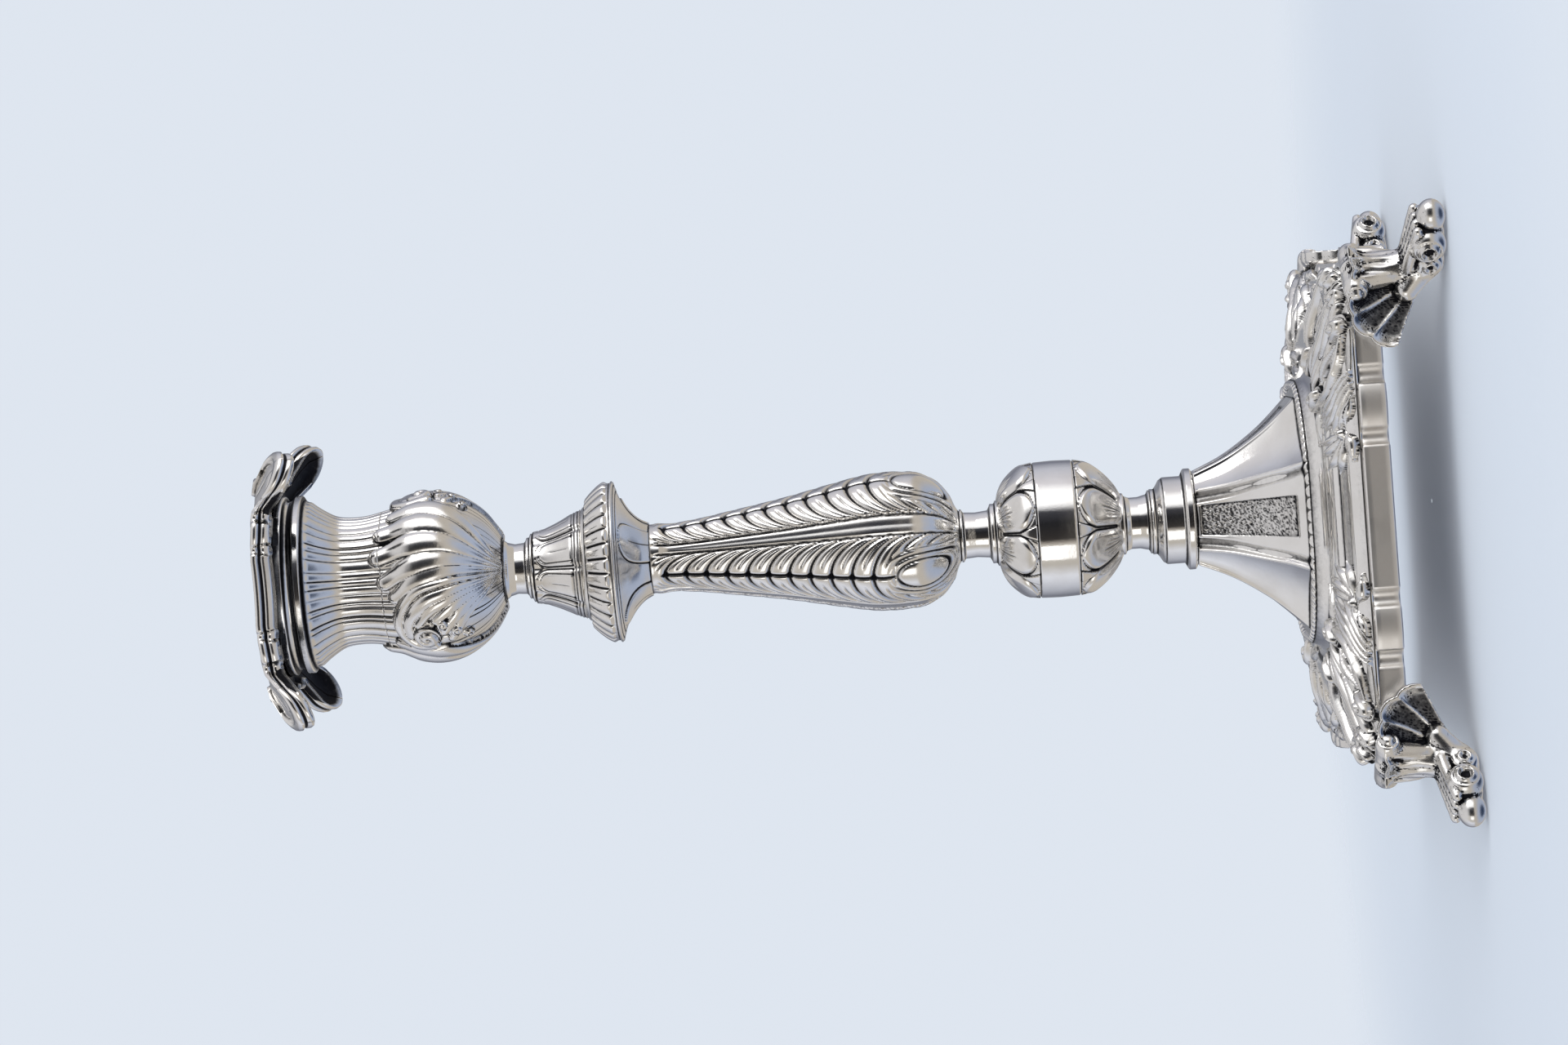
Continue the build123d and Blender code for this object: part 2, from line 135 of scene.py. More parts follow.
def outward(line):
    """Unit normals of an outline that runs up the outside of a piece."""
    along = np.gradient(line, axis=0)
    along /= np.linalg.norm(along, axis=1)[:, None] + 1e-9
    return np.stack([along[:, 1], -along[:, 0]], axis=1)


def run_length(line):
    """Distance along a line to each of its points."""
    return np.concatenate([[0], np.cumsum(np.linalg.norm(np.diff(line, axis=0), axis=1))])


# ---------------------------------------------------------------- meshes


def make_object(name, points, quads, tarnish, material):
    """A smooth-shaded mesh object from millimetre points and quads."""
    mesh = bpy.data.meshes.new(name)
    mesh.vertices.add(len(points))
    mesh.vertices.foreach_set("co", (points * MM).astype(np.float32).ravel())
    mesh.loops.add(quads.size)
    mesh.loops.foreach_set("vertex_index", quads.astype(np.int32).ravel())
    mesh.polygons.add(len(quads))
    mesh.polygons.foreach_set("loop_start", np.arange(0, quads.size, 4, dtype=np.int32))
    mesh.update(calc_edges=True)
    mesh.shade_smooth()
    values = mesh.attributes.new(TARNISH, "FLOAT", "POINT")
    values.data.foreach_set("value", np.clip(tarnish, 0, 1).astype(np.float32).ravel())
    mesh.materials.append(material)
    item = bpy.data.objects.new(name, mesh)
    bpy.context.scene.collection.objects.link(item)
    return item


def stands_for(item, node):
    """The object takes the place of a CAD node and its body."""
    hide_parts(node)
    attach(item, body_of[node])
    return item


def ring_quads(rows, columns, closed_rows=True):
    """Quads of a grid whose columns go round, and whose rows close on themselves too if asked."""
    index = np.arange(rows * columns).reshape(rows, columns)
    upper = np.roll(index, -1, axis=0)
    if not closed_rows:
        index, upper = index[:-1], upper[:-1]
    return np.stack(
        [index, np.roll(index, -1, axis=1), np.roll(upper, -1, axis=1), upper], axis=-1
    ).reshape(-1, 4)


def grid_piece(node, points, tarnish, material):
    """A closed piece from rows that run up the outside and back down the inside."""
    rows, columns = tarnish.shape
    quads = ring_quads(rows, columns)
    return stands_for(make_object(f"{node}_silver", points.reshape(-1, 3), quads, tarnish, material), node)


def turned(node, outside, inside, material, relief=None, columns=256):
    """A piece turned about the axis. relief gives (height, tarnish) from angle, run, radius, level."""
    line = np.concatenate([outside, inside])
    angle = np.linspace(0, 2 * pi, columns, endpoint=False)[None, :]
    normal = outward(outside)
    run = run_length(outside)[:, None]
    height, tarnish = np.zeros((len(line), columns)), np.zeros((len(line), columns))
    if relief:
        raised, dark = relief(angle, run, outside[:, 0][:, None], outside[:, 1][:, None])
        height[: len(outside)] = raised
        tarnish[: len(outside)] = dark
    directions = np.zeros_like(line)
    directions[: len(outside)] = normal
    radius = line[:, 0][:, None] + height * directions[:, 0][:, None]
    level = line[:, 1][:, None] + height * directions[:, 1][:, None]
    points = np.stack([radius * np.cos(angle), radius * np.sin(angle), level], axis=-1)
    return grid_piece(node, points, tarnish, material)


# ---------------------------------------------------------------- materials


def adder(tree):
    """A function that adds a node to the tree, with values for its sockets and its settings."""

    def add(kind, **settings):
        node = tree.nodes.new(kind)
        for key, value in settings.items():
            if key in node.inputs:
                node.inputs[key].default_value = value
            else:
                setattr(node, key, value)
        return node

    return add


def nodes_of(name):
    """A new node material: its tree, its shader and a function that adds and sets up a node."""
    material = bpy.data.materials.new(name)
    material.use_nodes = True
    tree = material.node_tree
    return material, tree, tree.nodes["Principled BSDF"], adder(tree)


def silver(name, polish, warm, base_roughness):
    """Silver with tarnish in its recesses, which on the base moulding's cove is also painted dark reflection:
    polish is the bright colour, warm the worn film on it.
    """
    material, tree, shader, add = nodes_of(name)
    link = tree.links.new
    place = add("ShaderNodeTexCoord")
    depth = add("ShaderNodeAttribute", attribute_name=TARNISH)
    film = add("ShaderNodeTexNoise", Scale=90.0, Detail=4.0, Roughness=0.6)
    link(place.outputs["Object"], film.inputs["Vector"])
    wear = add("ShaderNodeTexNoise", Scale=900.0, Detail=3.0, Roughness=0.7)
    link(place.outputs["Object"], wear.inputs["Vector"])

    film_share = add("ShaderNodeMapRange", **{"From Min": 0.42, "From Max": 0.75})
    link(film.outputs["Fac"], film_share.inputs["Value"])
    bright = add("ShaderNodeMix", data_type="RGBA")
    bright.inputs["A"].default_value = (*polish, 1)
    bright.inputs["B"].default_value = (*warm, 1)
    link(film_share.outputs["Result"], bright.inputs["Factor"])

    ragged = add("ShaderNodeMath", operation="MULTIPLY_ADD")
    link(wear.outputs["Fac"], ragged.inputs[0])
    ragged.inputs[1].default_value = 0.35
    ragged.inputs[2].default_value = -0.17
    # the tarnish share darkens the colour: patina in recesses, and on the base moulding's cove also a painted
    # dark reflection
    total = add("ShaderNodeMath", operation="ADD")
    link(depth.outputs["Fac"], total.inputs[0])
    link(ragged.outputs["Value"], total.inputs[1])
    dark_from = {"From Min": 0.25, "From Max": 0.85}
    dark_share = add("ShaderNodeMapRange", interpolation_type="SMOOTHSTEP", **dark_from)
    link(total.outputs["Value"], dark_share.inputs["Value"])
    colour = add("ShaderNodeMix", data_type="RGBA")
    link(dark_share.outputs["Result"], colour.inputs["Factor"])
    link(bright.outputs["Result"], colour.inputs["A"])
    colour.inputs["B"].default_value = (0.018, 0.018, 0.022, 1)
    link(colour.outputs["Result"], shader.inputs["Base Color"])

    roughness = {"To Min": base_roughness, "To Max": base_roughness + 0.1}
    smudge = add("ShaderNodeMapRange", **{"From Min": 0.3, "From Max": 0.8}, **roughness)
    link(film.outputs["Fac"], smudge.inputs["Value"])
    rough = add("ShaderNodeMath", operation="MULTIPLY_ADD")
    link(dark_share.outputs["Result"], rough.inputs[0])
    rough.inputs[1].default_value = 0.35
    link(smudge.outputs["Result"], rough.inputs[2])
    link(rough.outputs["Value"], shader.inputs["Roughness"])

    bump = add("ShaderNodeBump", Strength=0.12, Distance=0.0001)
    link(wear.outputs["Fac"], bump.inputs["Height"])
    link(bump.outputs["Normal"], shader.inputs["Normal"])
    shader.inputs["Metallic"].default_value = 1.0
    return material


def rod_steel():
    """Plain bright steel with fine turning marks, for the hidden rod and fastenings."""
    material, tree, shader, add = nodes_of("rod_steel")
    link = tree.links.new
    place = add("ShaderNodeTexCoord")
    marks = add("ShaderNodeTexWave", bands_direction="Z", Scale=500.0, Distortion=1.5, Detail=2.0)
    link(place.outputs["Object"], marks.inputs["Vector"])
    tone = add("ShaderNodeMix", data_type="RGBA")
    tone.inputs["A"].default_value = (0.30, 0.30, 0.31, 1)
    tone.inputs["B"].default_value = (0.52, 0.52, 0.53, 1)
    link(marks.outputs["Fac"], tone.inputs["Factor"])
    link(tone.outputs["Result"], shader.inputs["Base Color"])
    bump = add("ShaderNodeBump", Strength=0.3, Distance=0.0001)
    link(marks.outputs["Fac"], bump.inputs["Height"])
    link(bump.outputs["Normal"], shader.inputs["Normal"])
    shader.inputs["Metallic"].default_value = 1.0
    shader.inputs["Roughness"].default_value = 0.32
    return material


# polish, worn film on it, roughness
POLISHED = silver("polished_silver", (0.93, 0.92, 0.90), (0.84, 0.82, 0.79), 0.07)
OXIDISED = silver("oxidised_silver", (0.90, 0.885, 0.86), (0.78, 0.755, 0.72), 0.14)
CAST = silver("cast_silver", (0.88, 0.87, 0.85), (0.74, 0.72, 0.69), 0.18)
BRUSHED = silver("brushed_silver", (0.93, 0.91, 0.88), (0.84, 0.80, 0.75), 0.34)
STEEL = rod_steel()
MATERIALS = {
    "polished_silver": POLISHED,
    "oxidised_silver": OXIDISED,
    "cast_silver": CAST,
    "rod_steel": STEEL,
}

# ---------------------------------------------------------------- drawn relief


def straight(start, end, step):
    """Points on a line, ends included."""
    start, end = np.array(start, float), np.array(end, float)
    count = max(2, int(np.linalg.norm(end - start) / step) + 1)
    return start + (end - start) * np.linspace(0, 1, count)[:, None]


def stroke(x, y, line, width, height, ends=(0.35, 0.35), grown_at=0.45):
    """A raised rounded stroke along a line: its height at each place, and how near its edge that is.

    ends are the shares of the width that it has at either end, and grown_at where it reaches all of it.
    """
    line = curve(line, 0.5) if len(line) > 2 else straight(*line, 0.5)
    distance = np.full(x.shape, 1e9)
    share = np.zeros(x.shape)
    for at, (px, py) in zip(np.linspace(0, 1, len(line)), line):
        here = np.hypot(x - px, y - py)
        closer = here < distance
        distance = np.where(closer, here, distance)
        share = np.where(closer, at, share)
    root = ends[0] + (1 - ends[0]) * ramp(0, grown_at, share)
    tip = ends[1] + (1 - ends[1]) * ramp(0, 0.45, 1 - share)
    narrow = np.minimum(root, tip)
    off = distance / (width * narrow)
    return np.where(off < 1, height * narrow**0.5 * np.sqrt(np.clip(1 - off**2, 0, 1)), -1.0), off


def volute(x, y, centre, radius, height, turn=1):
    """A raised spiral button."""
    out = np.hypot(x - centre[0], y - centre[1])
    bearing = np.arctan2(y - centre[1], turn * (x - centre[0]))
    pitch = radius * 0.62
    groove = np.abs(centred(out - bearing / (2 * pi) * pitch, pitch)) - pitch / 2
    dome = height * np.sqrt(np.clip(1 - (out / (radius * 1.05)) ** 2, 0, 1)) - 0.9 * cut(groove, 0.4)
    return np.where(out < radius, dome, -1.0), np.maximum(out / radius, 0.97 * cut(groove, 0.4))


def drawn(x, y, strokes, volutes, strokes_look):
    """All strokes and volutes laid over each other: the height, and the tarnish between and beside them."""
    layers = [stroke(x, y, *drawing, **strokes_look) for drawing in strokes]
    layers += [volute(x, y, *drawing) for drawing in volutes]
    height, edge, second = np.full(x.shape, -1.0), np.full(x.shape, 9.0), np.full(x.shape, -1.0)
    for raised, off in layers:
        on_top = raised > height
        second = np.where(on_top, height, np.maximum(second, raised))
        edge = np.where(on_top, off, edge)
        height = np.where(on_top, raised, height)
    valley = (second > 0) * (1 - ramp(0.02, 0.24, height - second))
    return height, np.maximum(ramp(0.80, 0.98, edge), valley)


# ---------------------------------------------------------------- turned rings and necks


def plain_ring(node, corners, bore, radius=0.25, rings=(), film=0.0):
    """A turned ring: corners are (radius, level) up the outside, rings the levels of dark lines."""
    outside = stepped(corners, radius, 0.3)
    inside = stepped([(bore, corners[-1][1]), (bore, corners[0][1])], 0.1, 4.0)

    def lines(angle, run, r, level):
        dark = sum((cut(level - ring, 0.28) for ring in rings), np.zeros_like(level))
        wander = 0.5 + 0.5 * np.sin(angle * 3 + level)
        return -0.12 * dark + 0 * angle, dark * (0.75 + 0.25 * wander) + film * wander

    return turned(node, outside, inside, MATERIALS[slot_of[node]], lines, 192)


ROD_BORE = 3.3
RINGS = {  # (radius, height over the piece's foot) up the outside, then the heights of dark lines
    "lower_collar": (
        [(11.6, 0), (12.2, 0.5), (12.2, 2.0), (11.2, 2.7), (10.5, 3.0), (10.5, 7.3), (9.9, 8.1), (8.4, 9.0),
         (7.9, 9.6)],
        [0.05, 2.75, 7.6, 9.5],
    ),
    "lower_neck": (
        [(7.7, 0), (7.7, 0.5), (6.7, 1.1), (6.2, 3.0), (6.2, 5.2), (6.6, 6.1), (7.4, 6.5)],
        [0.1, 0.95, 6.25],
    ),
    "upper_neck": (
        [(7.9, 0), (7.9, 1.0), (7.2, 1.3), (7.2, 2.2), (5.7, 2.9), (5.4, 5.8), (5.6, 8.6), (6.4, 9.0)],
        [0.05, 1.2, 2.6, 8.8],
    ),
}
RING_TOPS = {"lower_collar": 7.9, "lower_neck": 7.4, "upper_neck": 6.4}


def rings_and_necks():
    """The plain turned pieces between the chased ones."""
    for node, (corners, lines) in RINGS.items():
        low, high = levels(node)
        outside = [(radius, low + rise) for radius, rise in corners] + [(RING_TOPS[node], high)]
        plain_ring(node, outside, ROD_BORE, rings=[low + rise for rise in lines])
    low, high = levels("cup_neck")
    plain_ring(
        "cup_neck",
        [(8.3, low), (8.3, low + 0.8), (7.4, low + 1.2), (7.4, low + 1.7), (6.2, low + 2.4), (6.0, low + 4.6),
         (6.5, low + 6.4), (7.4, high)],
        ROD_BORE,
        rings=(low + 0.05, low + 1.05, low + 2.1, high - 0.15),
    )
    low, high = levels("cup_rim")
    plain_ring(
        "cup_rim",
        [(20.6, low), (21.5, low + 0.5), (21.5, low + 1.9), (20.6, low + 2.6), (20.3, low + 3.6),
         (20.8, low + 4.3), (21.7, low + 4.7), (21.7, high)],
        reach("candle_socket") - 1.6,
        rings=(low + 0.05, low + 2.45, low + 3.2, low + 4.35),
        film=0.5,
    )


# ---------------------------------------------------------------- knop


PETALS = 8


def petals(angle, rise, r, length):
    """Rounded, veined petals round a calyx, with small leaves between their tips.

    rise is 0 at the neck and 1 at the petals' tips, and length the distance between, in millimetres.
    """
    width = pi / PETALS * r
    across = centred(angle, 2 * pi / PETALS) * r
    half = 0.94 * width
    up = rise * length
    tip_start = length - 0.95 * half
    past = np.maximum(up - tip_start, 0) / (length - tip_start)
    side = half * np.sqrt(np.clip(1 - past**2, 0, 1))
    edge = np.where(past < 1, np.abs(across) - side, np.hypot(across, up - length))
    on_petal = (edge < 0) & (past < 1)
    outline = cut(edge, 0.34) * ramp(0.02, 0.12, rise) * (1 - ramp(1.03, 1.08, rise))
    veins = cut(across, 0.17) * (1 - ramp(0.50, 0.66, rise))
    for side_share in (-0.62, -0.32, 0.32, 0.62):
        reach_up = 0.62 - 0.2 * abs(side_share)
        slant = across - side_share * (0.35 + 0.65 * rise) * width
        veins = veins + 0.8 * cut(slant, 0.15) * (1 - ramp(reach_up - 0.1, reach_up, rise))
    veins = veins * ramp(0.03, 0.12, rise)
    between = centred(angle + pi / PETALS, 2 * pi / PETALS) * r
    leaf_edge = np.abs(between) - 0.30 * width * np.clip((rise - 0.62) / 0.40, 0, 1)
    small_leaf = cut(leaf_edge, 0.2) * ramp(0.66, 0.74, rise) * (1 - ramp(1.06, 1.1, rise)) * ~on_petal
    crown = 0.65 * ramp(0.0, 1.8, -edge) * on_petal + 0.3 * (leaf_edge < 0) * ~on_petal * ramp(0.6, 0.7, rise)
    height = crown - 0.4 * outline - 0.22 * veins - 0.2 * small_leaf
    return height, outline + 0.8 * veins + 0.9 * small_leaf + 0.12 * ~on_petal


def knop():
    """The ball under the baluster: two calyces of petals on either side of a plain band."""
    low, high = levels("knop_lower_calyx")
    radius = reach("knop_band")
    outside = curve(
        [(7.4, low), (9.4, low + 1.1), (11.6, low + 2.8), (14.0, low + 5.4), (15.5, low + 7.8),
         (radius, high)],
        ROW_STEP,
    )
    inside = curve([(radius - 1.3, high), (11.0, low + 3.6), (6.1, low)], 2.0)
    total = run_length(outside)[-1]

    def rising(angle, run, r, level):
        return petals(angle + pi / PETALS, run / (total - 0.4), r, total - 0.4)

    turned("knop_lower_calyx", outside, inside, OXIDISED, rising, 384)

    low, high = levels("knop_band")
    outside = stepped(
        [(radius - 0.15, low), (radius + 0.25, low + 0.35), (radius + 0.35, low + 3.0),
         (radius + 0.4, (low + high) / 2), (radius + 0.35, high - 3.0), (radius + 0.25, high - 0.35),
         (radius - 0.15, high)],
        0.4,
    )
    inside = stepped([(radius - 1.3, high), (radius - 1.3, low)], 0.1, 4.0)

    def edges(angle, run, r, level):
        dark = cut(level - low, 0.3) + cut(level - high, 0.3)
        return 0 * angle - 0.1 * dark, dark + 0 * angle

    turned("knop_band", outside, inside, POLISHED, edges, 256)

    low, high = levels("knop_upper_calyx")
    outside = curve(
        [(radius, low), (15.6, low + 2.4), (13.9, low + 4.9), (11.6, low + 7.0), (9.6, low + 8.0),
         (7.7, high)],
        ROW_STEP,
    )
    inside = curve([(6.6, high), (10.4, low + 6.0), (radius - 1.3, low)], 2.0)
    total = run_length(outside)[-1]

    def hanging(angle, run, r, level):
        return petals(angle + pi / PETALS, (total - run) / (total - 0.4), r, total - 0.4)

    turned("knop_upper_calyx", outside, inside, OXIDISED, hanging, 384)


# ---------------------------------------------------------------- baluster

LEAF_SHARE = 0.80  # share of a quarter turn, each side of its midrib, that a leaf covers
BALUSTER_TURN = radians(17)
BARB_PITCH = 5.0
BARB_DROP = 11.0
EYE_HALF_WIDTH = 3.5
EYE_HALF_HEIGHT = 6.3


def baluster_relief(low, high):
    """Four feathered leaves: a midrib, arching barbs, and an oval eye low in the thick end."""
    eye_level = low + 9.6

    def relief(angle, run, r, level):
        turn = centred(angle - pi / 4 - BALUSTER_TURN, pi / 2)
        share = np.abs(turn) / (pi / 4)
        across = share / LEAF_SHARE
        x = turn * r
        body = 1 + 0.085 * np.cos(2 * turn) * ramp(low, low + 12, level) * (1 - ramp(high - 12, high, level))
        swell = (body - 1) * r

        eye = np.sqrt((x / EYE_HALF_WIDTH) ** 2 + ((level - eye_level) / EYE_HALF_HEIGHT) ** 2)
        near_eye = (1 - ramp(1.6, 2.0, eye)) * (1 - ramp(eye_level + 5, eye_level + 9, level))
        drop = BARB_DROP * (1 - np.sqrt(np.clip(1 - np.clip(across, 0, 1) ** 2, 0, 1)))
        phase = (level + drop * (0.75 + 0.25 * r / 16)) / BARB_PITCH
        barb_gap = np.abs(centred(phase, 1.0)) * BARB_PITCH
        half_gap = np.abs(centred(phase + 0.5, 1.0)) * BARB_PITCH
        barbs = cut(barb_gap, 0.42)
        fine = 0.7 * cut(half_gap, 0.24) * ramp(0.18, 0.4, across)
        puff = np.sqrt(np.clip(np.abs(np.sin(pi * phase)), 0, 1))

        nested = np.abs(centred(eye - 1.0, 0.38)) * EYE_HALF_WIDTH
        eye_lines = cut(nested, 0.28) * ramp(0.85, 0.95, eye)
        eye_puff = np.where(eye < 1, np.sqrt(np.clip(1 - eye**2, 0, 1)), 0.55)

        midrib = cut(x, 0.38) * ramp(eye_level + 5.5, eye_level + 7.5, level)
        midrib = midrib * (1 - ramp(high - 5, high - 2, level))
        knots = np.clip(1.5 - np.abs(x) / 0.9 - np.abs(centred(phase, 1.0)) * BARB_PITCH / 1.3, 0, 1)
        knots = knots * ramp(eye_level + 7, eye_level + 9, level)
        edge = cut((across - 1) * LEAF_SHARE * pi / 4 * r, 0.32)
        on_leaf = 1 - ramp(0.96, 1.04, across)
        lines = np.maximum(np.maximum(barbs, fine) * (1 - near_eye), eye_lines * near_eye) * on_leaf
        relief_height = (0.55 * puff * (1 - near_eye) + 0.75 * eye_puff * near_eye) * on_leaf

        rib = np.clip(1 - ((1 - share) / (1 - LEAF_SHARE)) ** 2, 0, 1) ** 0.5 * (1 - on_leaf)
        rib_height = (0.35 + 0.10 * r / 8) * rib
        ends = ramp(low + 0.2, low + 2.5, level) * (1 - ramp(high - 2.5, high - 0.3, level))
        height = swell + ends * (relief_height - 0.55 * lines - 0.5 * edge - 0.5 * midrib + rib_height + 0.1)
        dark = np.maximum.reduce([lines * 0.95, edge * 0.85, 1.15 * midrib, 1.4 * knots])
        collar = cut(level - low, 0.5) + cut(level - high, 0.5)
        return height, dark * ends + collar

    return relief


def baluster():
    """The long four-leaved stem piece."""
    low, high = levels("baluster")
    outside = curve(
        [(5.9, low), (7.3, low + 1.0), (9.9, low + 2.6), (13.0, low + 5.4), (14.7, low + 9.0),
         (15.3, low + 14.0), (15.2, low + 20.6), (13.7, low + 29.4), (11.5, low + 40.4), (9.2, low + 54.4),
         (7.7, low + 65.0), (7.5, low + 70.0), (8.4, high)],
        ROW_STEP,
    )
    inside = stepped([(3.3, high), (3.3, low)], 0.1, 8.0)
    turned("baluster", outside, inside, OXIDISED, baluster_relief(low, high), 328)


# ---------------------------------------------------------------- flange and bulb


def flange():
    """The trumpet over the baluster, its ringed rim, and the gadroons on its upper side."""
    low, high = levels("gadroon_flange")
    rim = reach("gadroon_flange")
    lower = curve(
        [(8.4, low), (9.3, low + 1.8), (11.6, low + 4.3), (15.2, low + 6.4), (rim - 0.3, low + 7.7)],
        ROW_STEP,
    )
    upper = curve(
        [(rim, low + 8.1), (rim - 0.3, low + 8.7), (18.5, low + 10.3), (16.9, low + 12.4),
         (14.6, low + 14.6), (13.0, high)],
        ROW_STEP,
    )
    outside = np.concatenate([lower, upper])
    inside = curve(
        [(11.7, high), (16.6, low + 9.6), (16.4, low + 8.4), (10.8, low + 5.6), (7.4, low + 1.5),
         (7.3, low)],
        2.0,
    )
    turn_over = run_length(outside)[len(lower)]
    total = run_length(outside)[-1]

    def relief(angle, run, r, level):
        under = 1 - ramp(turn_over - 0.4, turn_over + 0.2, run)
        rise = run / turn_over
        petal = centred(angle - BALUSTER_TURN - radians(8), pi / 2)
        edge = np.abs(petal) * r - (0.62 * pi / 4 * r) * np.sqrt(np.clip(1 - (rise / 0.74) ** 2, 0, 1))
        petal_line = cut(edge, 0.3) * (1 - ramp(0.72, 0.78, rise))
        vein = cut(petal * r, 0.3) * (1 - ramp(0.4, 0.55, rise))
        rings = cut(rise - 0.80, 0.022) + cut(rise - 0.91, 0.022)
        under_height = 0.45 * ramp(-0.6, 0.6, -edge) * (1 - ramp(0.72, 0.78, rise)) - 0.3 * petal_line
        under_dark = 0.95 * petal_line + 0.7 * vein + 0.95 * rings

        over = (run - turn_over) / (total - turn_over)
        lobe = np.abs(centred(angle, 2 * pi / 32)) * r
        width = pi / 32 * r
        bead = np.sqrt(np.clip(1 - (lobe / width) ** 2, 0, 1))
        zone = ramp(0.10, 0.18, over) * (1 - ramp(0.74, 0.82, over))
        gap = cut(width - lobe, 0.34) * zone
        over_rings = cut(over - 0.06, 0.025) + cut(over - 0.86, 0.03)
        over_height = 0.75 * bead * zone - 0.3 * gap - 0.25 * over_rings
        over_dark = 1.0 * gap + 0.95 * over_rings
        height = under * under_height - 0.2 * under * rings + (1 - under) * over_height
        return height, under * under_dark + (1 - under) * over_dark

    turned("gadroon_flange", outside, inside, OXIDISED, relief, 512)


def bulb():
    """The small fluted bulb between the flange and the cup's neck."""
    low, high = levels("calyx_bulb")
    outside = curve(
        [(12.8, low), (12.2, low + 1.6), (10.9, low + 4.2), (9.6, low + 7.0), (8.6, low + 9.8), (8.2, high)],
        ROW_STEP,
    )
    inside = curve([(6.9, high), (8.6, low + 5.5), (11.5, low)], 2.0)
    total = run_length(outside)[-1]

    def relief(angle, run, r, level):
        rise = run / total
        width = pi / 8 * r
        across = np.abs(centred(angle + pi / 8, pi / 4)) * r
        lines = np.zeros_like(across + rise)
        for share, head, depth in ((0.92, 0.95, 1.0), (0.66, 0.88, 0.85)):
            half = share * width
            past = np.clip((run - (head * total - half)) / half, 0, None)
            edge = np.where(past < 1, across - half * np.sqrt(np.clip(1 - past**2, 0, 1)), 9.0)
            lines = lines + depth * cut(edge, 0.26) * ramp(1.6, 2.2, run)
        foot_line = cut(run - 2.1, 0.26) * (across < 0.92 * width)
        centre = 0.7 * cut(across, 0.2) * ramp(0.2, 0.3, rise) * (1 - ramp(0.6, 0.72, rise))
        rings = cut(run - 0.45, 0.28) + cut(run - 1.35, 0.24)
        grooves = 0.3 * lines + 0.15 * centre + 0.25 * rings + 0.2 * foot_line
        height = 0.5 * ramp(0, 1.4, width - across) - grooves
        return height, lines + centre + 0.8 * foot_line + rings * 0.9 + cut(run - total, 0.4)

    turned("calyx_bulb", outside, inside, OXIDISED, relief, 320)


# ---------------------------------------------------------------- candle cup

SLEEVE_REEDS = 46


def reeds(angle, r, seed=5):
    """Uneven upright reeds round the cup's sleeve: height and tarnish by angle."""
    random = np.random.default_rng(seed)
    widths = random.uniform(0.6, 1.4, SLEEVE_REEDS)
    edges = np.concatenate([[0], np.cumsum(widths)]) / widths.sum() * 2 * pi
    depth = random.uniform(0.45, 1.0, SLEEVE_REEDS + 1)
    depth[-1] = depth[0]
    where = (angle + 0 * r) % (2 * pi)
    index = np.clip(np.searchsorted(edges, where) - 1, 0, SLEEVE_REEDS - 1)
    from_left = (where - edges[index]) * r
    to_right = (edges[index + 1] - where) * r
    share = from_left / (from_left + to_right)
    bead = np.sqrt(np.clip(4 * share * (1 - share), 0, 1))
    lines = np.maximum(depth[index] * cut(from_left, 0.26), depth[index + 1] * cut(to_right, 0.26))
    return 0.38 * bead - 0.25 * lines, lines


LEAVES = 3
LEAF_SCALE = 18.5  # radius at which the leaf is drawn flat
LEAF_RIBS = [  # line from root to tip, half width, height; x round the bowl, y up its side
    ([(-1.6, 0.5), (-7.0, 8.0), (-11.5, 14.0), (-16.8, 17.6)], 1.5, 0.9),
    ([(-1.4, 0.5), (-5.6, 8.5), (-9.6, 15.0), (-14.2, 19.4)], 1.5, 1.0),
    ([(-1.2, 0.5), (-4.6, 9.0), (-7.4, 16.0), (-11.0, 21.0)], 1.5, 1.1),
    ([(-1.0, 0.5), (-3.6, 9.0), (-5.6, 17.0), (-8.6, 22.6), (-12.0, 25.2)], 1.6, 1.4),
    ([(-0.8, 0.5), (-2.4, 9.0), (-3.9, 17.0), (-6.4, 23.6), (-11.0, 27.4), (-15.6, 27.6)], 2.0, 2.0),
    ([(-0.5, 0.5), (-1.1, 9.0), (-1.8, 18.0), (-4.0, 25.6), (-9.4, 29.6), (-15.2, 29.6), (-18.6, 26.0),
      (-18.0, 21.8)], 1.9, 2.6),
    ([(0.0, 0.5), (0.6, 10.0), (0.6, 19.0), (-1.6, 26.0), (-5.2, 30.6)], 2.4, 2.0),
    ([(0.2, 0.5), (2.4, 10.0), (3.2, 19.0), (1.8, 27.0), (-1.2, 32.8)], 3.0, 2.6),
    ([(0.8, 0.5), (4.6, 10.0), (7.4, 19.0), (7.4, 27.4), (5.6, 34.2)], 3.5, 3.0),
    ([(1.2, 0.5), (6.8, 9.0), (11.2, 17.0), (12.9, 25.4), (12.2, 33.0)], 3.5, 2.8),
    ([(1.8, 0.5), (8.8, 7.6), (14.6, 14.5), (17.4, 22.0), (17.8, 30.0)], 3.2, 2.4),
]
LEAF_CURLS = [  # centre, radius, height, way that the spiral turns
    ((-15.4, 23.4), 3.3, 3.0, -1),
    ((-12.2, 19.6), 1.5, 2.2),
    ((-14.6, 16.4), 1.5, 2.1),
    ((-17.2, 13.4), 1.4, 1.9),
]


def cup_leaves(angle, run):
    """The leaves that wrap the cup, by the distance run up its side: how far raised, and their tarnish."""
    turn = centred(angle + radians(87), 2 * pi / LEAVES)
    x, y = turn * LEAF_SCALE + 0 * run, run + 0 * turn
    return drawn(x, y, LEAF_RIBS, LEAF_CURLS, {"ends": (0.22, 0.7), "grown_at": 1.0})


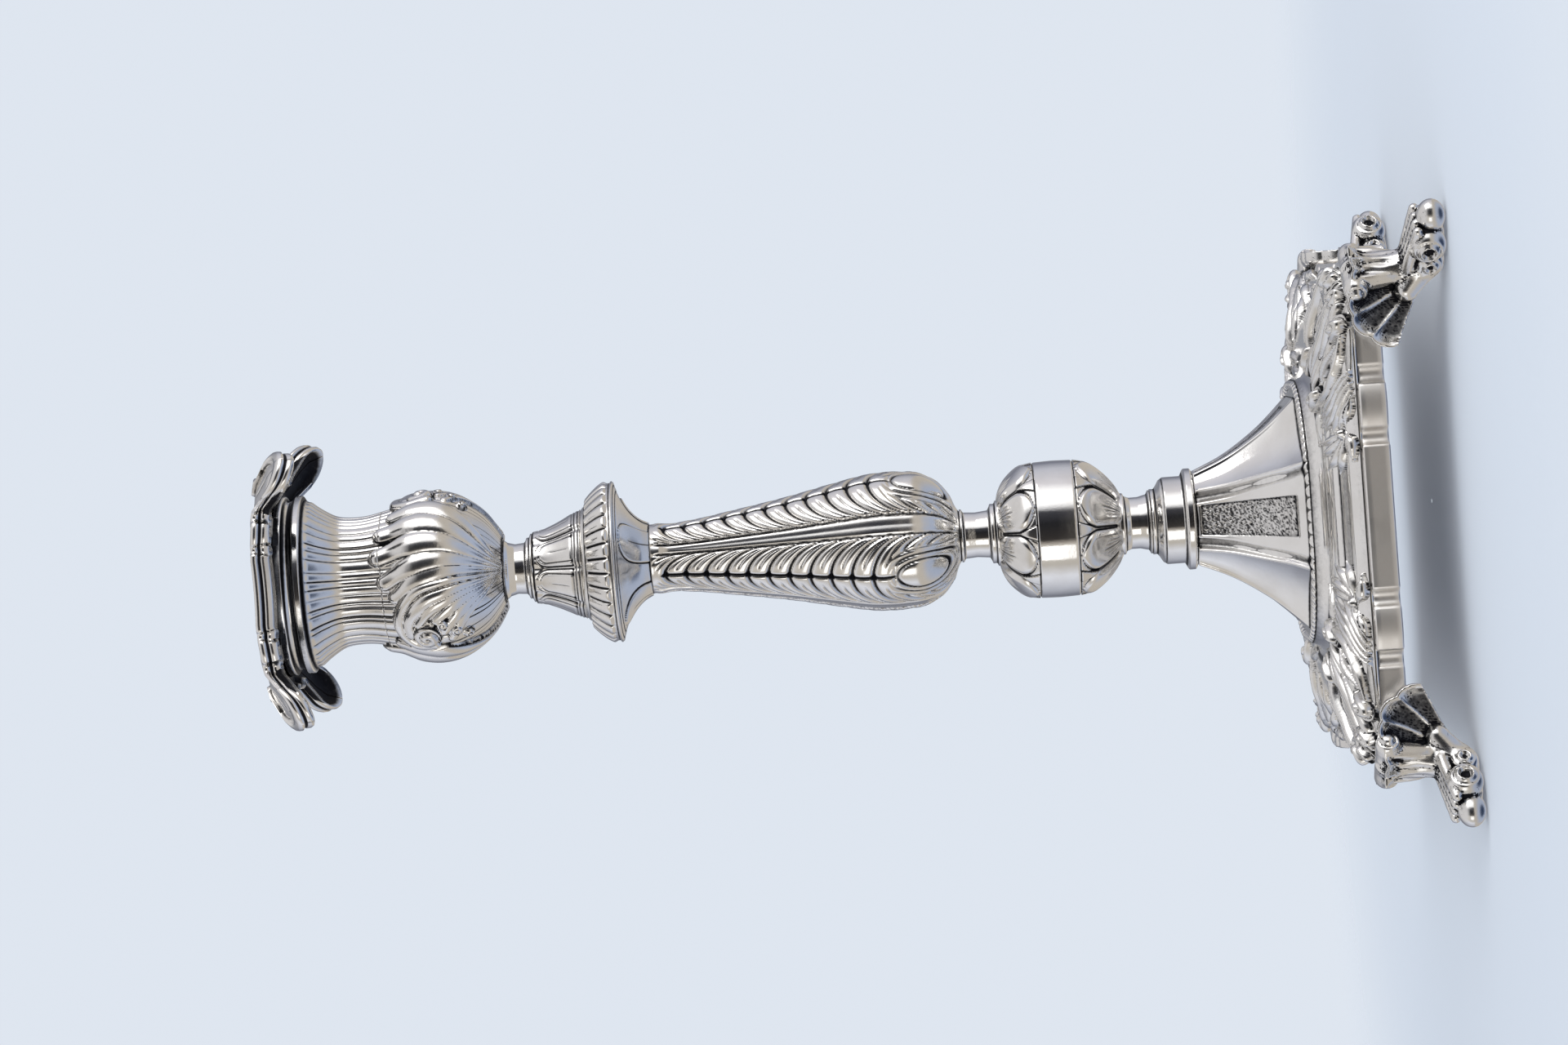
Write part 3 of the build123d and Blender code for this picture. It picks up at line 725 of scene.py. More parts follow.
def bowl_and_sleeve():
    """The leafy bowl of the cup and the reeded sleeve over it."""
    low, high = levels("cup_bowl")
    outside = curve(
        [(7.6, low), (10.2, low + 1.5), (13.8, low + 4.2), (16.7, low + 7.9), (18.8, low + 12.4),
         (19.3, low + 16.6), (18.5, low + 21.2), (16.7, low + 25.4), (15.9, high)],
        ROW_STEP,
    )
    inside = curve([(14.7, high), (18.0, low + 16.6), (12.8, low + 6.0), (8.8, low + 2.4)], 2.0)
    floor = stepped([(8.4, low + 2.4), (3.3, low + 2.4), (3.3, low), (7.2, low)], 0.1, 3.0)
    bowl_run = run_length(outside)[-1]
    bowl_low = low

    def covered(angle, run, reed_share):
        """Leaves over reeds, as one relief."""
        raised, leaf_dark = cup_leaves(angle, run)
        on_leaf = ramp(-0.2, 0.3, raised)
        reed_height, reed_dark = reeds(angle, 16.0)
        leaf_height = 0.6 * np.maximum(raised, 0) + 0.5
        height = on_leaf * leaf_height + (1 - on_leaf) * reed_height * reed_share
        return height, on_leaf * leaf_dark + (1 - on_leaf) * reed_dark

    def bowl_relief(angle, run, r, level):
        height, dark = covered(angle, run, ramp(bowl_low + 6, bowl_low + 16, level))
        return height * ramp(0, 2.5, run), dark + cut(run - 0.2, 0.5)

    turned("cup_bowl", outside, np.concatenate([inside, floor]), OXIDISED, bowl_relief, 512)

    low, high = levels("cup_sleeve")
    outside = curve(
        [(15.9, low), (15.2, low + 3.4), (15.0, low + 7.0), (15.6, low + 11.2), (17.5, low + 14.6),
         (20.5, high)],
        ROW_STEP,
    )
    inside = curve([(19.3, high), (14.3, low + 11.2), (13.7, low + 7.0), (14.7, low)], 2.0)

    def sleeve_relief(angle, run, r, level):
        height, dark = covered(angle, bowl_run + run, 1.0)
        fade = 1 - ramp(high - 1.4, high - 0.5, level)
        return height * fade, dark * fade + cut(level - high, 0.6)

    turned("cup_sleeve", outside, inside, OXIDISED, sleeve_relief, 512)


# ---------------------------------------------------------------- square pieces: outlines


def square_loop(angle, half, corner):
    """Points at the given bearings on a rounded square of that half width and corner radius."""
    folded = np.abs(centred(angle, pi / 2))
    on_side = half / np.cos(folded)
    middle = half - corner
    along = middle * (np.cos(folded) + np.sin(folded))
    off = middle * (np.sin(folded) - np.cos(folded))
    on_corner = along + np.sqrt(np.clip(corner**2 - off**2, 0, None))
    radius = np.where(half * np.tan(folded) <= middle, on_side, on_corner)
    return np.stack([radius * np.cos(angle), radius * np.sin(angle)], axis=-1)


def all_round(quarter):
    """A closed outline from a quarter of it that ends one point short."""
    turns = [quarter]
    for _ in range(3):
        x, y = turns[-1][:, 0], turns[-1][:, 1]
        turns.append(np.stack([-y, x], axis=-1))
    return np.concatenate(turns)


def four_times(eighth):
    """A closed outline from the points of one eighth, which runs from a side's middle to a corner."""
    mirrored = eighth[-2:0:-1, ::-1] if len(eighth) > 2 else eighth[:0]
    return all_round(np.concatenate([eighth, mirrored]))


def arc(start, middle, end, step):
    """Points on the circle through three places, from the first to the last."""
    (ax, ay), (bx, by), (cx, cy) = start, middle, end
    d = 2 * (ax * (by - cy) + bx * (cy - ay) + cx * (ay - by))
    a, b, c = ax**2 + ay**2, bx**2 + by**2, cx**2 + cy**2
    centre_x = (a * (by - cy) + b * (cy - ay) + c * (ay - by)) / d
    centre_y = (a * (cx - bx) + b * (ax - cx) + c * (bx - ax)) / d
    centre = np.array([centre_x, centre_y])
    first, last = (np.arctan2(*(np.array(point) - centre)[::-1]) for point in (start, end))
    through = np.arctan2(*(np.array(middle) - centre)[::-1])
    sweep = (last - first) % (2 * pi)
    if (through - first) % (2 * pi) > sweep:
        sweep -= 2 * pi
    radius = np.hypot(*(np.array(start) - centre))
    count = max(3, int(abs(sweep) * radius / step) + 1)
    turn = first + sweep * np.linspace(0, 1, count)
    return centre + radius * np.stack([np.cos(turn), np.sin(turn)], axis=-1)


def cusped_eighth(side, centre, lobe, notch, corner, tip, step):
    """One eighth of a square whose sides step back twice, by round notches, towards the corner."""
    depth = 0.45 * notch
    first = centre + notch
    second = first + lobe
    third = second + notch
    lobe_start, lobe_end = (side - 0.2 * depth, first), (side - 0.4 * depth, second)
    last_start = (side - 1.3 * depth, third)
    round_tip = arc(corner, (tip, tip), corner[::-1], step)
    parts = [
        straight((side, 0), (side, centre), step),
        arc((side, centre), (side - depth, centre + 0.5 * notch), lobe_start, step),
        arc(lobe_start, (side + 0.2 * depth, first + 0.5 * lobe), lobe_end, step),
        arc(lobe_end, (side - 1.8 * depth, second + 0.5 * notch), last_start, step),
        straight(last_start, corner, step),
        round_tip[: len(round_tip) // 2 + 1],
    ]
    points = np.concatenate(parts)
    keep = np.concatenate([[True], np.linalg.norm(np.diff(points, axis=0), axis=1) > 1e-6])
    return points[keep]


def loop_normals(loop):
    """Outward unit normals of a closed outline that runs anticlockwise."""
    along = np.roll(loop, -1, axis=0) - np.roll(loop, 1, axis=0)
    along /= np.linalg.norm(along, axis=1)[:, None]
    return np.stack([along[:, 1], -along[:, 0]], axis=-1)


def level_row(loop, height):
    """An outline lifted to one height, or to a height for each of its points."""
    return np.concatenate([loop, np.broadcast_to(height, (len(loop),))[:, None]], axis=1)


# ---------------------------------------------------------------- square pieces: base


def base_plate():
    """The square plate: a deep cusped edge round an open middle."""
    low, high = levels("base_plate")
    half = reach("base_plate") - 0.4
    top = high - 1.2
    eighth = cusped_eighth(half, 16.5, 10.0, 4.2, (half - 2.5, 47.0), half - 6.0, 0.6)
    loop = four_times(eighth)
    normals = loop_normals(loop)
    angle = np.arctan2(loop[:, 1], loop[:, 0])
    outer = [(-5.2, low), (-0.5, low), (-0.1, low + 0.15), (0, low + 0.5), (0, low + 1.6), (0, top - 1.6),
             (0, top - 0.5), (-0.12, top - 0.15), (-0.5, top), (-1.6, top + 0.05)]
    rows = [level_row(loop + offset * normals, height) for offset, height in outer]
    inner = [(52.5, 6, top + 0.1), (36, 6, high), (35, 6, high), (35, 6, high - 1.8), (42, 8, high - 1.9),
             (51.5, 11, high - 2.0), (52.4, 12, high - 3.0)]
    rows += [level_row(square_loop(angle, *sizes), height) for *sizes, height in inner]
    points = np.array(rows)
    tarnish = np.zeros(points.shape[:2])
    tarnish[len(outer) :] = 0.3
    tarnish[len(outer) - 1] = 0.25
    grid_piece("base_plate", points, tarnish, BRUSHED)


MOULDING_PROFILE = [  # half width, corner radius, height over the plate's top, tarnish: patina in the grooves, which in the cove under the bead row also paints a dark reflection
    (56.6, 16, -1.4, 0.3),
    (56.4, 16, -0.6, 0.3),
    (55.6, 17, 0.2, 0.3),
    (55.2, 17, 1.5, 0.1),
    (54.6, 18, 2.0, 0.2),
    (53.0, 19, 2.2, 0.15),
    (51.6, 20, 2.2, 0.8),
    (51.2, 21, 2.1, 1.0),
    (50.7, 22, 2.2, 0.5),
    (50.2, 22, 2.9, 0.45),
    (49.2, 23, 3.3, 0.4),
    (47.6, 24, 3.4, 0.6),
    (46.8, 25, 3.2, 1.0),
    (46.3, 26, 3.3, 0.9),
    (45.9, 26, 4.0, 0.1),
    (45.0, 27, 5.0, 0.0),
    (43.2, 28, 5.7, 0.0),
    (40.6, 29, 6.1, 0.0),
    (38.0, 29, 6.0, 0.1),
    (36.9, 28, 5.6, 0.9),
    (36.4, 28, 5.5, 1.0),
    (35.4, 28, 5.7, 0.5),
    (33.6, 27, 6.3, 0.25),
    (32.3, 26, 7.4, 0.3),
    (31.7, 26, 8.7, 0.5),
    (31.4, 26, 9.2, 1.0),
]
BEADS_PER_SIDE = 21
BEAD_HALF = 30.4


def base_moulding():
    """Stepped mouldings along the four sides, with a bead row where the cone starts."""
    low, high = levels("base_moulding")
    columns = 1152
    angle = np.linspace(0, 2 * pi, columns, endpoint=False)
    rows, tarnish = [], []
    # each row's tarnish is patina, and in the cove under the bead row it is also painted dark reflection
    for half, corner, rise, dark in MOULDING_PROFILE:
        rows.append(level_row(square_loop(angle, half, corner), low + rise))
        tarnish.append(np.full(columns, dark))
    for turn in np.linspace(0.06 * pi, 0.94 * pi, 9):
        loop = square_loop(angle, BEAD_HALF + 0.9 * np.cos(turn), 25)
        along = np.tan(centred(angle, pi / 2)) * BEAD_HALF
        from_bead = 2 * centred(along * BEADS_PER_SIDE / (2 * BEAD_HALF), 1.0)
        bead = np.sqrt(np.clip(1 - from_bead**2, 0, 1))
        rows.append(level_row(loop, high - 0.7 + 1.1 * np.sin(turn) * bead))
        tarnish.append(1 - bead**0.8)
    inside = [(29.4, 24, high - 0.7), (28.4, 23, high), (24.4, 20, high), (24.4, 20, high - 1.8),
              (29.2, 24, high - 1.9), (34.5, 26, low + 4.2), (40.0, 27, low + 3.8), (45.0, 24, low + 1.6),
              (51.8, 18, low + 0.4), (53.0, 17, low - 0.8), (54.5, 16, low - 1.5)]
    for half, corner, height in inside:
        rows.append(level_row(square_loop(angle, half, corner), height))
        tarnish.append(np.full(columns, 0.5))
    grid_piece("base_moulding", np.array(rows), np.array(tarnish), POLISHED)


CONE_PROFILE = [  # height share, half width, half width of a side panel
    (0.0, 27.6, 12.6),
    (0.07, 25.9, 12.0),
    (0.15, 24.0, 11.3),
    (0.29, 20.9, 10.5),
    (0.465, 17.7, 9.4),
    (0.68, 14.4, 8.1),
    (0.93, 11.6, 7.2),
    (1.0, 10.9, 7.0),
]


def cone_quarter(half, panel, wall, side_columns, corner_columns, relief):
    """A quarter of the cone's outline: half a side panel, the hollow corner panel, half the next."""
    half, panel = half - wall, panel - 0.4 * wall
    side = np.linspace(0, 1, side_columns)[:-1]
    first = np.stack([np.full_like(side, half), side * panel], axis=-1)
    share = np.linspace(0, 1, corner_columns)[:-1]
    chord = (half - panel) * 2**0.5
    hollow = 0.10 * chord * 4 * share * (1 - share)
    corner = np.stack([half - share * (half - panel), panel + share * (half - panel)], axis=-1)
    corner = corner - hollow[:, None] / 2**0.5
    last = np.stack([(1 - side) * panel, np.full_like(side, half)], axis=-1)
    outline = np.concatenate([first, corner, last])
    place = np.concatenate([side, 1 + share, 2 + side])
    beyond_first = np.where(place[:, None] >= 2, [[0.0, 1.0]], [[0.707, 0.707]])
    out = np.where(place[:, None] < 1, [[1.0, 0.0]], beyond_first)
    raised, dark = relief(place, half, panel)
    return outline + out * raised[:, None], dark


def base_cone():
    """The eight-panelled cone: stippled trapezoids on the sides, hollow panels at the corners."""
    low, high = levels("base_cone")
    random = np.random.default_rng(11)
    shares = curve([(share * 40, half, panel) for share, half, panel in CONE_PROFILE], 0.45)
    stipple_low, stipple_high = 0.09, 0.955

    def relief_at(share):
        def relief(place, half, panel):
            past_first = np.where(place >= 2, 3 - place, 1 + np.minimum(place - 1, 2 - place))
            across = np.where(place < 1, place, past_first)
            off = (across - 1) * panel
            off = np.where(across > 1, (across - 1) * (half - panel) * 2**0.5, off)
            patch_half = 5.0 - 1.6 * share
            across_mm = np.minimum(across, 1) * panel
            inside = 1 - ramp(-0.2, 0.2, across_mm - patch_half)
            above = ramp(stipple_low - 0.01, stipple_low + 0.01, share)
            tall = above * (1 - ramp(stipple_high - 0.01, stipple_high + 0.01, share))
            stipple = random.uniform(-1, 1, len(place)) * inside * tall
            frame_line = cut(across_mm - patch_half, 0.3) * tall
            ends = cut((share - stipple_low) * 28, 0.35) + cut((share - stipple_high) * 28, 0.35)
            frame_line = frame_line + inside * ends
            channel = cut(off + 1.6, 1.25)
            lip = cut(off + 3.1, 0.4) + cut(off - 0.1, 0.5)
            height = -0.45 * inside * tall + 0.2 * stipple - 1.3 * channel + 0.4 * lip
            pits = 0.38 + 0.5 * (stipple < 0) * np.abs(stipple)
            dark = 0.66 * channel + 0.5 * frame_line + inside * tall * pits
            return height, dark

        return relief

    def smooth(place, half, panel):
        return 0 * place, 0 * place + 0.3

    rows, tarnish = [], []
    levels_out = [(row[0] / 40, row[1], row[2]) for row in shares]
    for share, half, panel in levels_out:
        quarter, dark = cone_quarter(half, panel, 0.0, 34, 40, relief_at(share))
        rows.append(level_row(all_round(quarter), low + share * (high - low)))
        ring = 0.9 * cut(share * 24, 0.4)
        tarnish.append(np.tile(dark + ring, 4))
    inner = [levels_out[-1], (0.93, 11.7, 7.2), (0.465, 17.7, 9.4), (0.15, 24.0, 11.3), (0.0, 27.6, 12.6)]
    for index, (share, half, panel) in enumerate(inner):
        wall = 7.3 if index == 0 else 1.3
        quarter, dark = cone_quarter(half, panel, wall, 34, 40, smooth)
        rows.append(level_row(all_round(quarter), low + share * (high - low) - (1.8 if index == 1 else 0)))
        tarnish.append(np.tile(dark, 4))
        if index == 0:
            rows.append(level_row(all_round(quarter), high - 1.8))
            tarnish.append(np.tile(dark, 4))
    grid_piece("base_cone", np.array(rows), np.array(tarnish), POLISHED)


# ---------------------------------------------------------------- corner ornaments

CORNERS = ("back_right", "back_left", "front_left", "front_right")


ORNAMENT_STROKES = [  # line from root to tip, half width, height; x from the diagonal, y up the slope
    ([(0, 1.0), (0, 10.0), (0, 19.0)], 3.0, 2.4),
    ([(2.6, 3.0), (5.0, 8.0), (5.4, 14.5)], 1.9, 2.1),
    ([(3.0, 9.5), (5.6, 14.5), (5.6, 20.0)], 1.8, 2.0),
    ([(3.0, 1.6), (7.0, 3.6), (9.6, 8.2)], 1.9, 2.0),
    ([(5.6, 11.0), (8.6, 15.0), (9.4, 20.5)], 1.7, 1.9),
    ([(6.8, 6.6), (10.4, 9.6), (12.0, 14.5)], 1.7, 1.9),
    ([(16.0, 17.5), (21.0, 15.0), (22.4, 9.5), (20.0, 4.2), (14.5, 2.2)], 1.8, 2.6),
    ([(13.2, 14.8), (11.6, 11.0), (12.2, 6.8)], 1.4, 2.0),
    ([(17.5, 12.5), (18.5, 9.0), (16.5, 5.6)], 1.7, 1.5),
    ([(14.6, 10.6), (15.4, 7.6), (14.0, 5.0)], 1.4, 1.4),
    ([(16.0, 20.6), (21.5, 19.4), (26.0, 20.0), (30.5, 22.0)], 1.3, 1.5),
    ([(14.0, 22.6), (20.0, 22.0), (25.0, 22.6), (29.0, 24.4)], 1.1, 1.3),
    ([(23.2, 1.6), (24.2, 8.0), (25.0, 16.6)], 1.4, 2.0),
    ([(24.4, 1.4), (26.6, 7.4), (28.0, 17.0)], 1.4, 2.1),
    ([(25.9, 1.3), (29.2, 6.6), (31.2, 16.4)], 1.4, 2.1),
    ([(27.4, 1.2), (31.4, 5.4), (34.0, 13.5)], 1.4, 2.0),
    ([(29.0, 1.0), (33.0, 3.6), (35.4, 8.0)], 1.3, 1.8),
    ([(36.0, 6.0), (35.4, 11.0), (34.2, 17.2)], 1.7, 2.0),
    ([(36.8, 6.0), (37.8, 11.6), (37.8, 18.0)], 1.8, 2.1),
    ([(37.4, 5.6), (40.8, 9.8), (42.8, 15.2)], 1.8, 2.0),
    ([(37.6, 4.4), (42.0, 5.8), (45.4, 9.4)], 1.8, 1.9),
    ([(36.8, 3.6), (40.2, 1.8), (44.0, 1.6)], 1.5, 1.6),
    ([(34.8, 3.6), (32.0, 2.0), (29.6, 1.2)], 1.3, 1.5),
]
ORNAMENT_VOLUTES = [  # centre, radius, height
    ((14.6, 18.2), 3.6, 2.8),
    ((11.6, 3.2), 3.0, 2.8),
    ((36.4, 5.0), 1.7, 2.6),
    ((3.4, 1.8), 2.4, 3.0),
]


def corner_ornament():
    """Points, rows and tarnish of the ornament at the first corner, drawn on the moulding's slope."""
    low = levels("corner_acanthus_back_right")[0]
    slope = curve(
        [(57.2, 12, low - 0.6), (56.2, 13, low + 0.6), (53.0, 17, low + 1.8), (49.0, 22, low + 2.6),
         (45.6, 26, low + 4.0), (41.0, 28, low + 5.4), (36.0, 28, low + 5.6), (33.0, 27, low + 6.6)],
        0.30,
    )
    up = run_length(slope[:, [0, 2]])
    x = np.arange(-46.5, 46.6, 0.32)
    x_grid, y_grid = np.meshgrid(x, up)
    across = np.abs(x_grid)
    height, tarnish = drawn(across, y_grid, ORNAMENT_STROKES, ORNAMENT_VOLUTES, {})
    mound = np.clip(1 - (across / 30) ** 2, 0, 1) * ramp(-1.0, 3.5, y_grid)
    ground = -2.4 + 2.2 * ramp(0, 0.2, mound)
    tarnish = np.where(height > 0, tarnish, 0.35 + 0.4 * ramp(1.0, 5.0, y_grid))
    height = np.where(height > 0, np.maximum(1.4 * height - 0.5, ground), ground) + 0.3 * mound

    share = np.clip(np.abs(x_grid) / 57.4, 0, 1)
    bearing = pi / 4 + np.sign(x_grid) * (pi / 4 - np.arctan(1 - share))
    loops = [square_loop(bearing[row], half, corner) for row, (half, corner, _) in enumerate(slope)]
    points = np.array([level_row(loop, level) for loop, (_, _, level) in zip(loops, slope)])
    along = np.gradient(points, axis=1)
    upwards = np.gradient(points, axis=0)
    normal = np.cross(along, upwards)
    normal /= np.linalg.norm(normal, axis=2)[:, :, None] + 1e-9
    return points + normal * height[:, :, None], points - normal * 1.2, tarnish


def corner_ornaments():
    """The four leaf and scroll ornaments, one shape turned to each corner."""
    outer, inner, tarnish = corner_ornament()
    rows, columns = tarnish.shape
    sheet = np.arange(rows * columns).reshape(rows, columns)
    under = sheet + rows * columns
    border = np.concatenate([sheet[0, :-1], sheet[:-1, -1], sheet[-1, :0:-1], sheet[:0:-1, 0]])
    border_under = border + rows * columns
    faces = [
        np.stack([sheet[:-1, :-1], sheet[:-1, 1:], sheet[1:, 1:], sheet[1:, :-1]], axis=-1).reshape(-1, 4),
        np.stack([under[:-1, :-1], under[1:, :-1], under[1:, 1:], under[:-1, 1:]], axis=-1).reshape(-1, 4),
        np.stack([border, border_under, np.roll(border_under, -1), np.roll(border, -1)], axis=-1),
    ]
    quads = np.concatenate(faces)
    both = np.concatenate([outer.reshape(-1, 3), inner.reshape(-1, 3)])
    dark = np.concatenate([tarnish.ravel(), np.ones(rows * columns)])
    for quarter, corner in enumerate(CORNERS):
        node = f"corner_acanthus_{corner}"
        stands_for(make_object(f"{node}_silver", turned_by(both, quarter), quads, dark, CAST), node)


def turned_by(points, quarter):
    """Points turned about the axis by quarter turns."""
    c, s = round(np.cos(quarter * pi / 2)), round(np.sin(quarter * pi / 2))
    return points @ np.array([[c, s, 0], [-s, c, 0], [0, 0, 1.0]])


# ---------------------------------------------------------------- feet, as a distance field


def merged(first, second, blend):
    """Union of two distance fields with a small fillet."""
    near = np.clip(0.5 + 0.5 * (second - first) / blend, 0, 1)
    return second + (first - second) * near - blend * near * (1 - near)


def ball(u, v, z, centre, radii):
    """Rough distance to an ellipsoid."""
    radii = np.broadcast_to(radii, (3,))
    scaled = np.sqrt(sum(((value - c) / r) ** 2 for value, c, r in zip((u, v, z), centre, radii)))
    return (scaled - 1) * min(radii)


def limb(u, v, z, start, end, start_radius, end_radius):
    """Distance to a round limb that tapers between two places."""
    start, end = np.array(start, float), np.array(end, float)
    axis = end - start
    share = ((u - start[0]) * axis[0] + (v - start[1]) * axis[1] + (z - start[2]) * axis[2]) / (axis @ axis)
    share = np.clip(share, 0, 1)
    squares = [(value - start[i] - share * axis[i]) ** 2 for i, value in enumerate((u, v, z))]
    radius = start_radius + (end_radius - start_radius) * share
    return np.sqrt(squares[0] + squares[1] + squares[2]) - radius


def shell_lobes(u, across, z):
    """Distance to the ribbed shell beside the leg, and its tarnish: it fans from the ankle to a rim."""
    out, along = (u + across) / 2**0.5, (u - across) / 2**0.5
    from_ankle = 58.0 - along
    rise = z - 2.6
    spread = np.hypot(from_ankle, rise)
    bearing = np.arctan2(rise, from_ankle)
    pitch = radians(13)
    low_edge = radians(26)
    bent = 0.22 * np.clip(spread / 23, 0, 1) ** 2 * (bearing - low_edge)
    lobes = (bearing - low_edge - bent) / pitch
    lobe_round = 1 - np.abs(2 * (lobes % 1) - 1) ** 2.4
    bulge = 1.8 * np.sin(pi * np.clip((bearing - low_edge) / 0.9, 0, 1))
    rim = 21.4 + bulge - 3.0 * ramp(0.9, 1.45, bearing) + 0.9 * lobe_round
    share = spread / rim
    sweep = np.clip(share, 0, 1.1)
    face = 56.8 + 4.2 * sweep**3 - 1.2 * np.sin(pi * sweep)
    rib = np.abs(centred(lobes, 1.0)) * pitch * spread
    ribs = 0.3 * cut(rib, 0.24) * (share < 0.95)
    thickness = 0.9 + 0.65 * cut((share - 0.96) * 18, 1.0)
    shell = np.abs(out - face - ribs) - thickness
    limits = np.maximum(spread - rim, np.maximum(low_edge - bearing, bearing - radians(95)) * spread)
    hollow = ramp(0.25, 0.6, share) * (1 - ramp(0.84, 0.94, share)) * (1 - 0.85 * cut(rib, 0.3))
    near_face = (np.abs(out - face) < 2.2) & (bearing > low_edge - 0.05) & (bearing < 1.35)
    return np.maximum(shell, limits), hollow * near_face * (out > face - 0.3)


def foot_field(u, v, z, plate_low):
    """Distance field of one foot: u outwards along the diagonal, v across it, z up."""
    across = np.abs(v)
    paw = ball(u, v, z, (87.5, 0, 3.9), (10.2, 4.4, 3.9))
    eyes = 9.0
    for centre, radius in (((83.8, 3.0, 3.6), 3.1), ((90.2, 3.6, 4.3), 4.2)):
        curl = ball(u, across, z, centre, radius)
        out = np.hypot(u - centre[0], z - centre[2])
        ring = curl + 0.5 * cut(out - 0.62 * radius, 0.45)
        paw = merged(paw, ring, 0.35)
        eye = ball(u, across, z, (centre[0], centre[1] + radius * 0.95, centre[2]), radius * 0.42)
        eyes = np.minimum(eyes, eye)
    toe = ball(u, v, z, (95.6, 0, 3.4), (4.2, 3.6, 3.3))
    paw = merged(paw, toe, 0.35)
    for lean in (0.9, 3.0):
        ridge = limb(u, across, z, (82.5, lean, 8.6), (94.5, 1.3 * lean, 6.7), 1.5, 1.2)
        paw = merged(paw, ridge, 0.3)

    leg = limb(u, v, z, (82.0, 0, 4.4), (79.8, 0, 11.5), 4.3, 3.6)
    heel = limb(u, across, z, (82.0, 0.5, 4.0), (77.0, 4.6, 9.0), 3.6, 2.6)
    leg = merged(leg, heel, 1.5)
    front = limb(u, across, z, (80.8, 1.2, 9.0), (79.8, 4.4, 20.5), 2.6, 2.6)
    ribs = 0.45 * np.cos(across * 2 * pi / 2.3) * ramp(8, 11, z)
    shin = merged(front, limb(u, v, z, (80.5, 0, 9.0), (80.4, 0, 20.0), 3.0, 3.6), 0.5)
    leg = merged(leg, shin + 0.25 - 0.5 * ribs, 1.2)
    roll = limb(u, v, z, (79.5, -5.6, 20.6), (79.5, 5.6, 20.6), 2.9, 2.9)
    roll_out = np.hypot(u - 79.5, z - 20.6)
    roll = roll + 0.6 * cut(roll_out - 1.7, 0.4) * (across > 4.5)
    body = merged(paw, merged(leg, roll, 0.5), 0.7)

    shell, _ = shell_lobes(u, across, z)
    body = merged(body, shell * 0.8, 0.6)
    body = np.maximum(body, -eyes)
    out = (u + across) / 2**0.5
    inside_plate = np.maximum(out - 57.0, plate_low + 1.2 - z)
    return np.maximum(np.maximum(body, -inside_plate - 0.4), -z)


def surface_net(field, origin, step):
    """Points and quads of a field's zero surface, one point in each cell that it crosses."""
    inside = field < 0
    shape = np.array(field.shape) - 1
    total = np.zeros((*shape, 3))
    count = np.zeros(shape)
    corners = [(0, 0), (0, 1), (1, 0), (1, 1)]
    for axis in range(3):
        others = [a for a in range(3) if a != axis]
        for offset in corners:
            first = [slice(0, shape[a]) for a in range(3)]
            for other, shift in zip(others, offset):
                first[other] = slice(shift, shift + shape[other])
            second = list(first)
            second[axis] = slice(1, 1 + shape[axis])
            a, b = field[tuple(first)], field[tuple(second)]
            crossing = inside[tuple(first)] != inside[tuple(second)]
            where = np.where(crossing, a / np.where(crossing, a - b, 1), 0)
            count += crossing
            total[..., axis] += where
            for other, shift in zip(others, offset):
                total[..., other] += crossing * shift
    active = count > 0
    index = np.full(shape, -1)
    index[active] = np.arange(active.sum())
    cells = np.argwhere(active)
    points = (cells + total[active] / count[active][:, None]) * step + origin
    quads = []
    for axis in range(3):
        a, b = [other for other in range(3) if other != axis]
        low = [slice(1, -1)] * 3
        low[axis] = slice(0, shape[axis])
        high = list(low)
        high[axis] = slice(1, shape[axis] + 1)
        flips = inside[tuple(low)] != inside[tuple(high)]
        start = np.argwhere(flips)
        place = start.copy()
        place[:, a] += 1
        place[:, b] += 1
        ring = []
        for da, db in ((-1, -1), (0, -1), (0, 0), (-1, 0)):
            cell = place.copy()
            cell[:, a] += da
            cell[:, b] += db
            ring.append(index[tuple(cell.T)])
        quad = np.stack(ring, axis=1)
        outwards = inside[tuple(low)][tuple(start.T)]
        if axis == 1:
            outwards = ~outwards
        quads.append(np.where(outwards[:, None], quad, quad[:, ::-1]))
    return points, np.concatenate(quads)


def blurred(values, reach_cells):
    """A box average over so many cells on each side, along every axis."""
    for axis in range(values.ndim):
        width = 2 * reach_cells + 1
        margins = [(reach_cells + 1, reach_cells) if a == axis else (0, 0) for a in range(values.ndim)]
        padded = np.pad(values, margins, mode="edge")
        sums = np.cumsum(padded, axis=axis)
        size = values.shape[axis]
        upper = np.take(sums, range(width, width + size), axis=axis)
        lower = np.take(sums, range(0, size), axis=axis)
        values = (upper - lower) / width
    return values


def feet():
    """The four cast feet, one shape turned to each corner."""
    step = 0.36
    start = np.array([50.0, -22.0, -1.0])
    u, v, z = (np.arange(low, high, step) for low, high in ((50.0, 102.0), (-22.0, 22.4), (-1.0, 26.0)))
    grid = np.meshgrid(u, v, z, indexing="ij")
    field = foot_field(*grid, levels("base_plate")[0])
    points, quads = surface_net(field, start, step)
    crowding = blurred((field < 0).astype(float), 3)
    cell = tuple(np.clip(np.round((points - start) / step).astype(int), 0, np.array(field.shape) - 1).T)
    _, shell_dark = shell_lobes(points[:, 0], np.abs(points[:, 1]), points[:, 2])
    tarnish = np.maximum(ramp(0.47, 0.63, crowding[cell]), 0.72 * shell_dark)
    x = (points[:, 0] - points[:, 1]) / 2**0.5
    y = (points[:, 0] + points[:, 1]) / 2**0.5
    out = np.stack([x, y, points[:, 2]], axis=-1)
    for quarter, corner in enumerate(CORNERS):
        node = f"foot_{corner}"
        stands_for(make_object(f"{node}_silver", turned_by(out, quarter), quads, tarnish, CAST), node)


# ---------------------------------------------------------------- drip pan

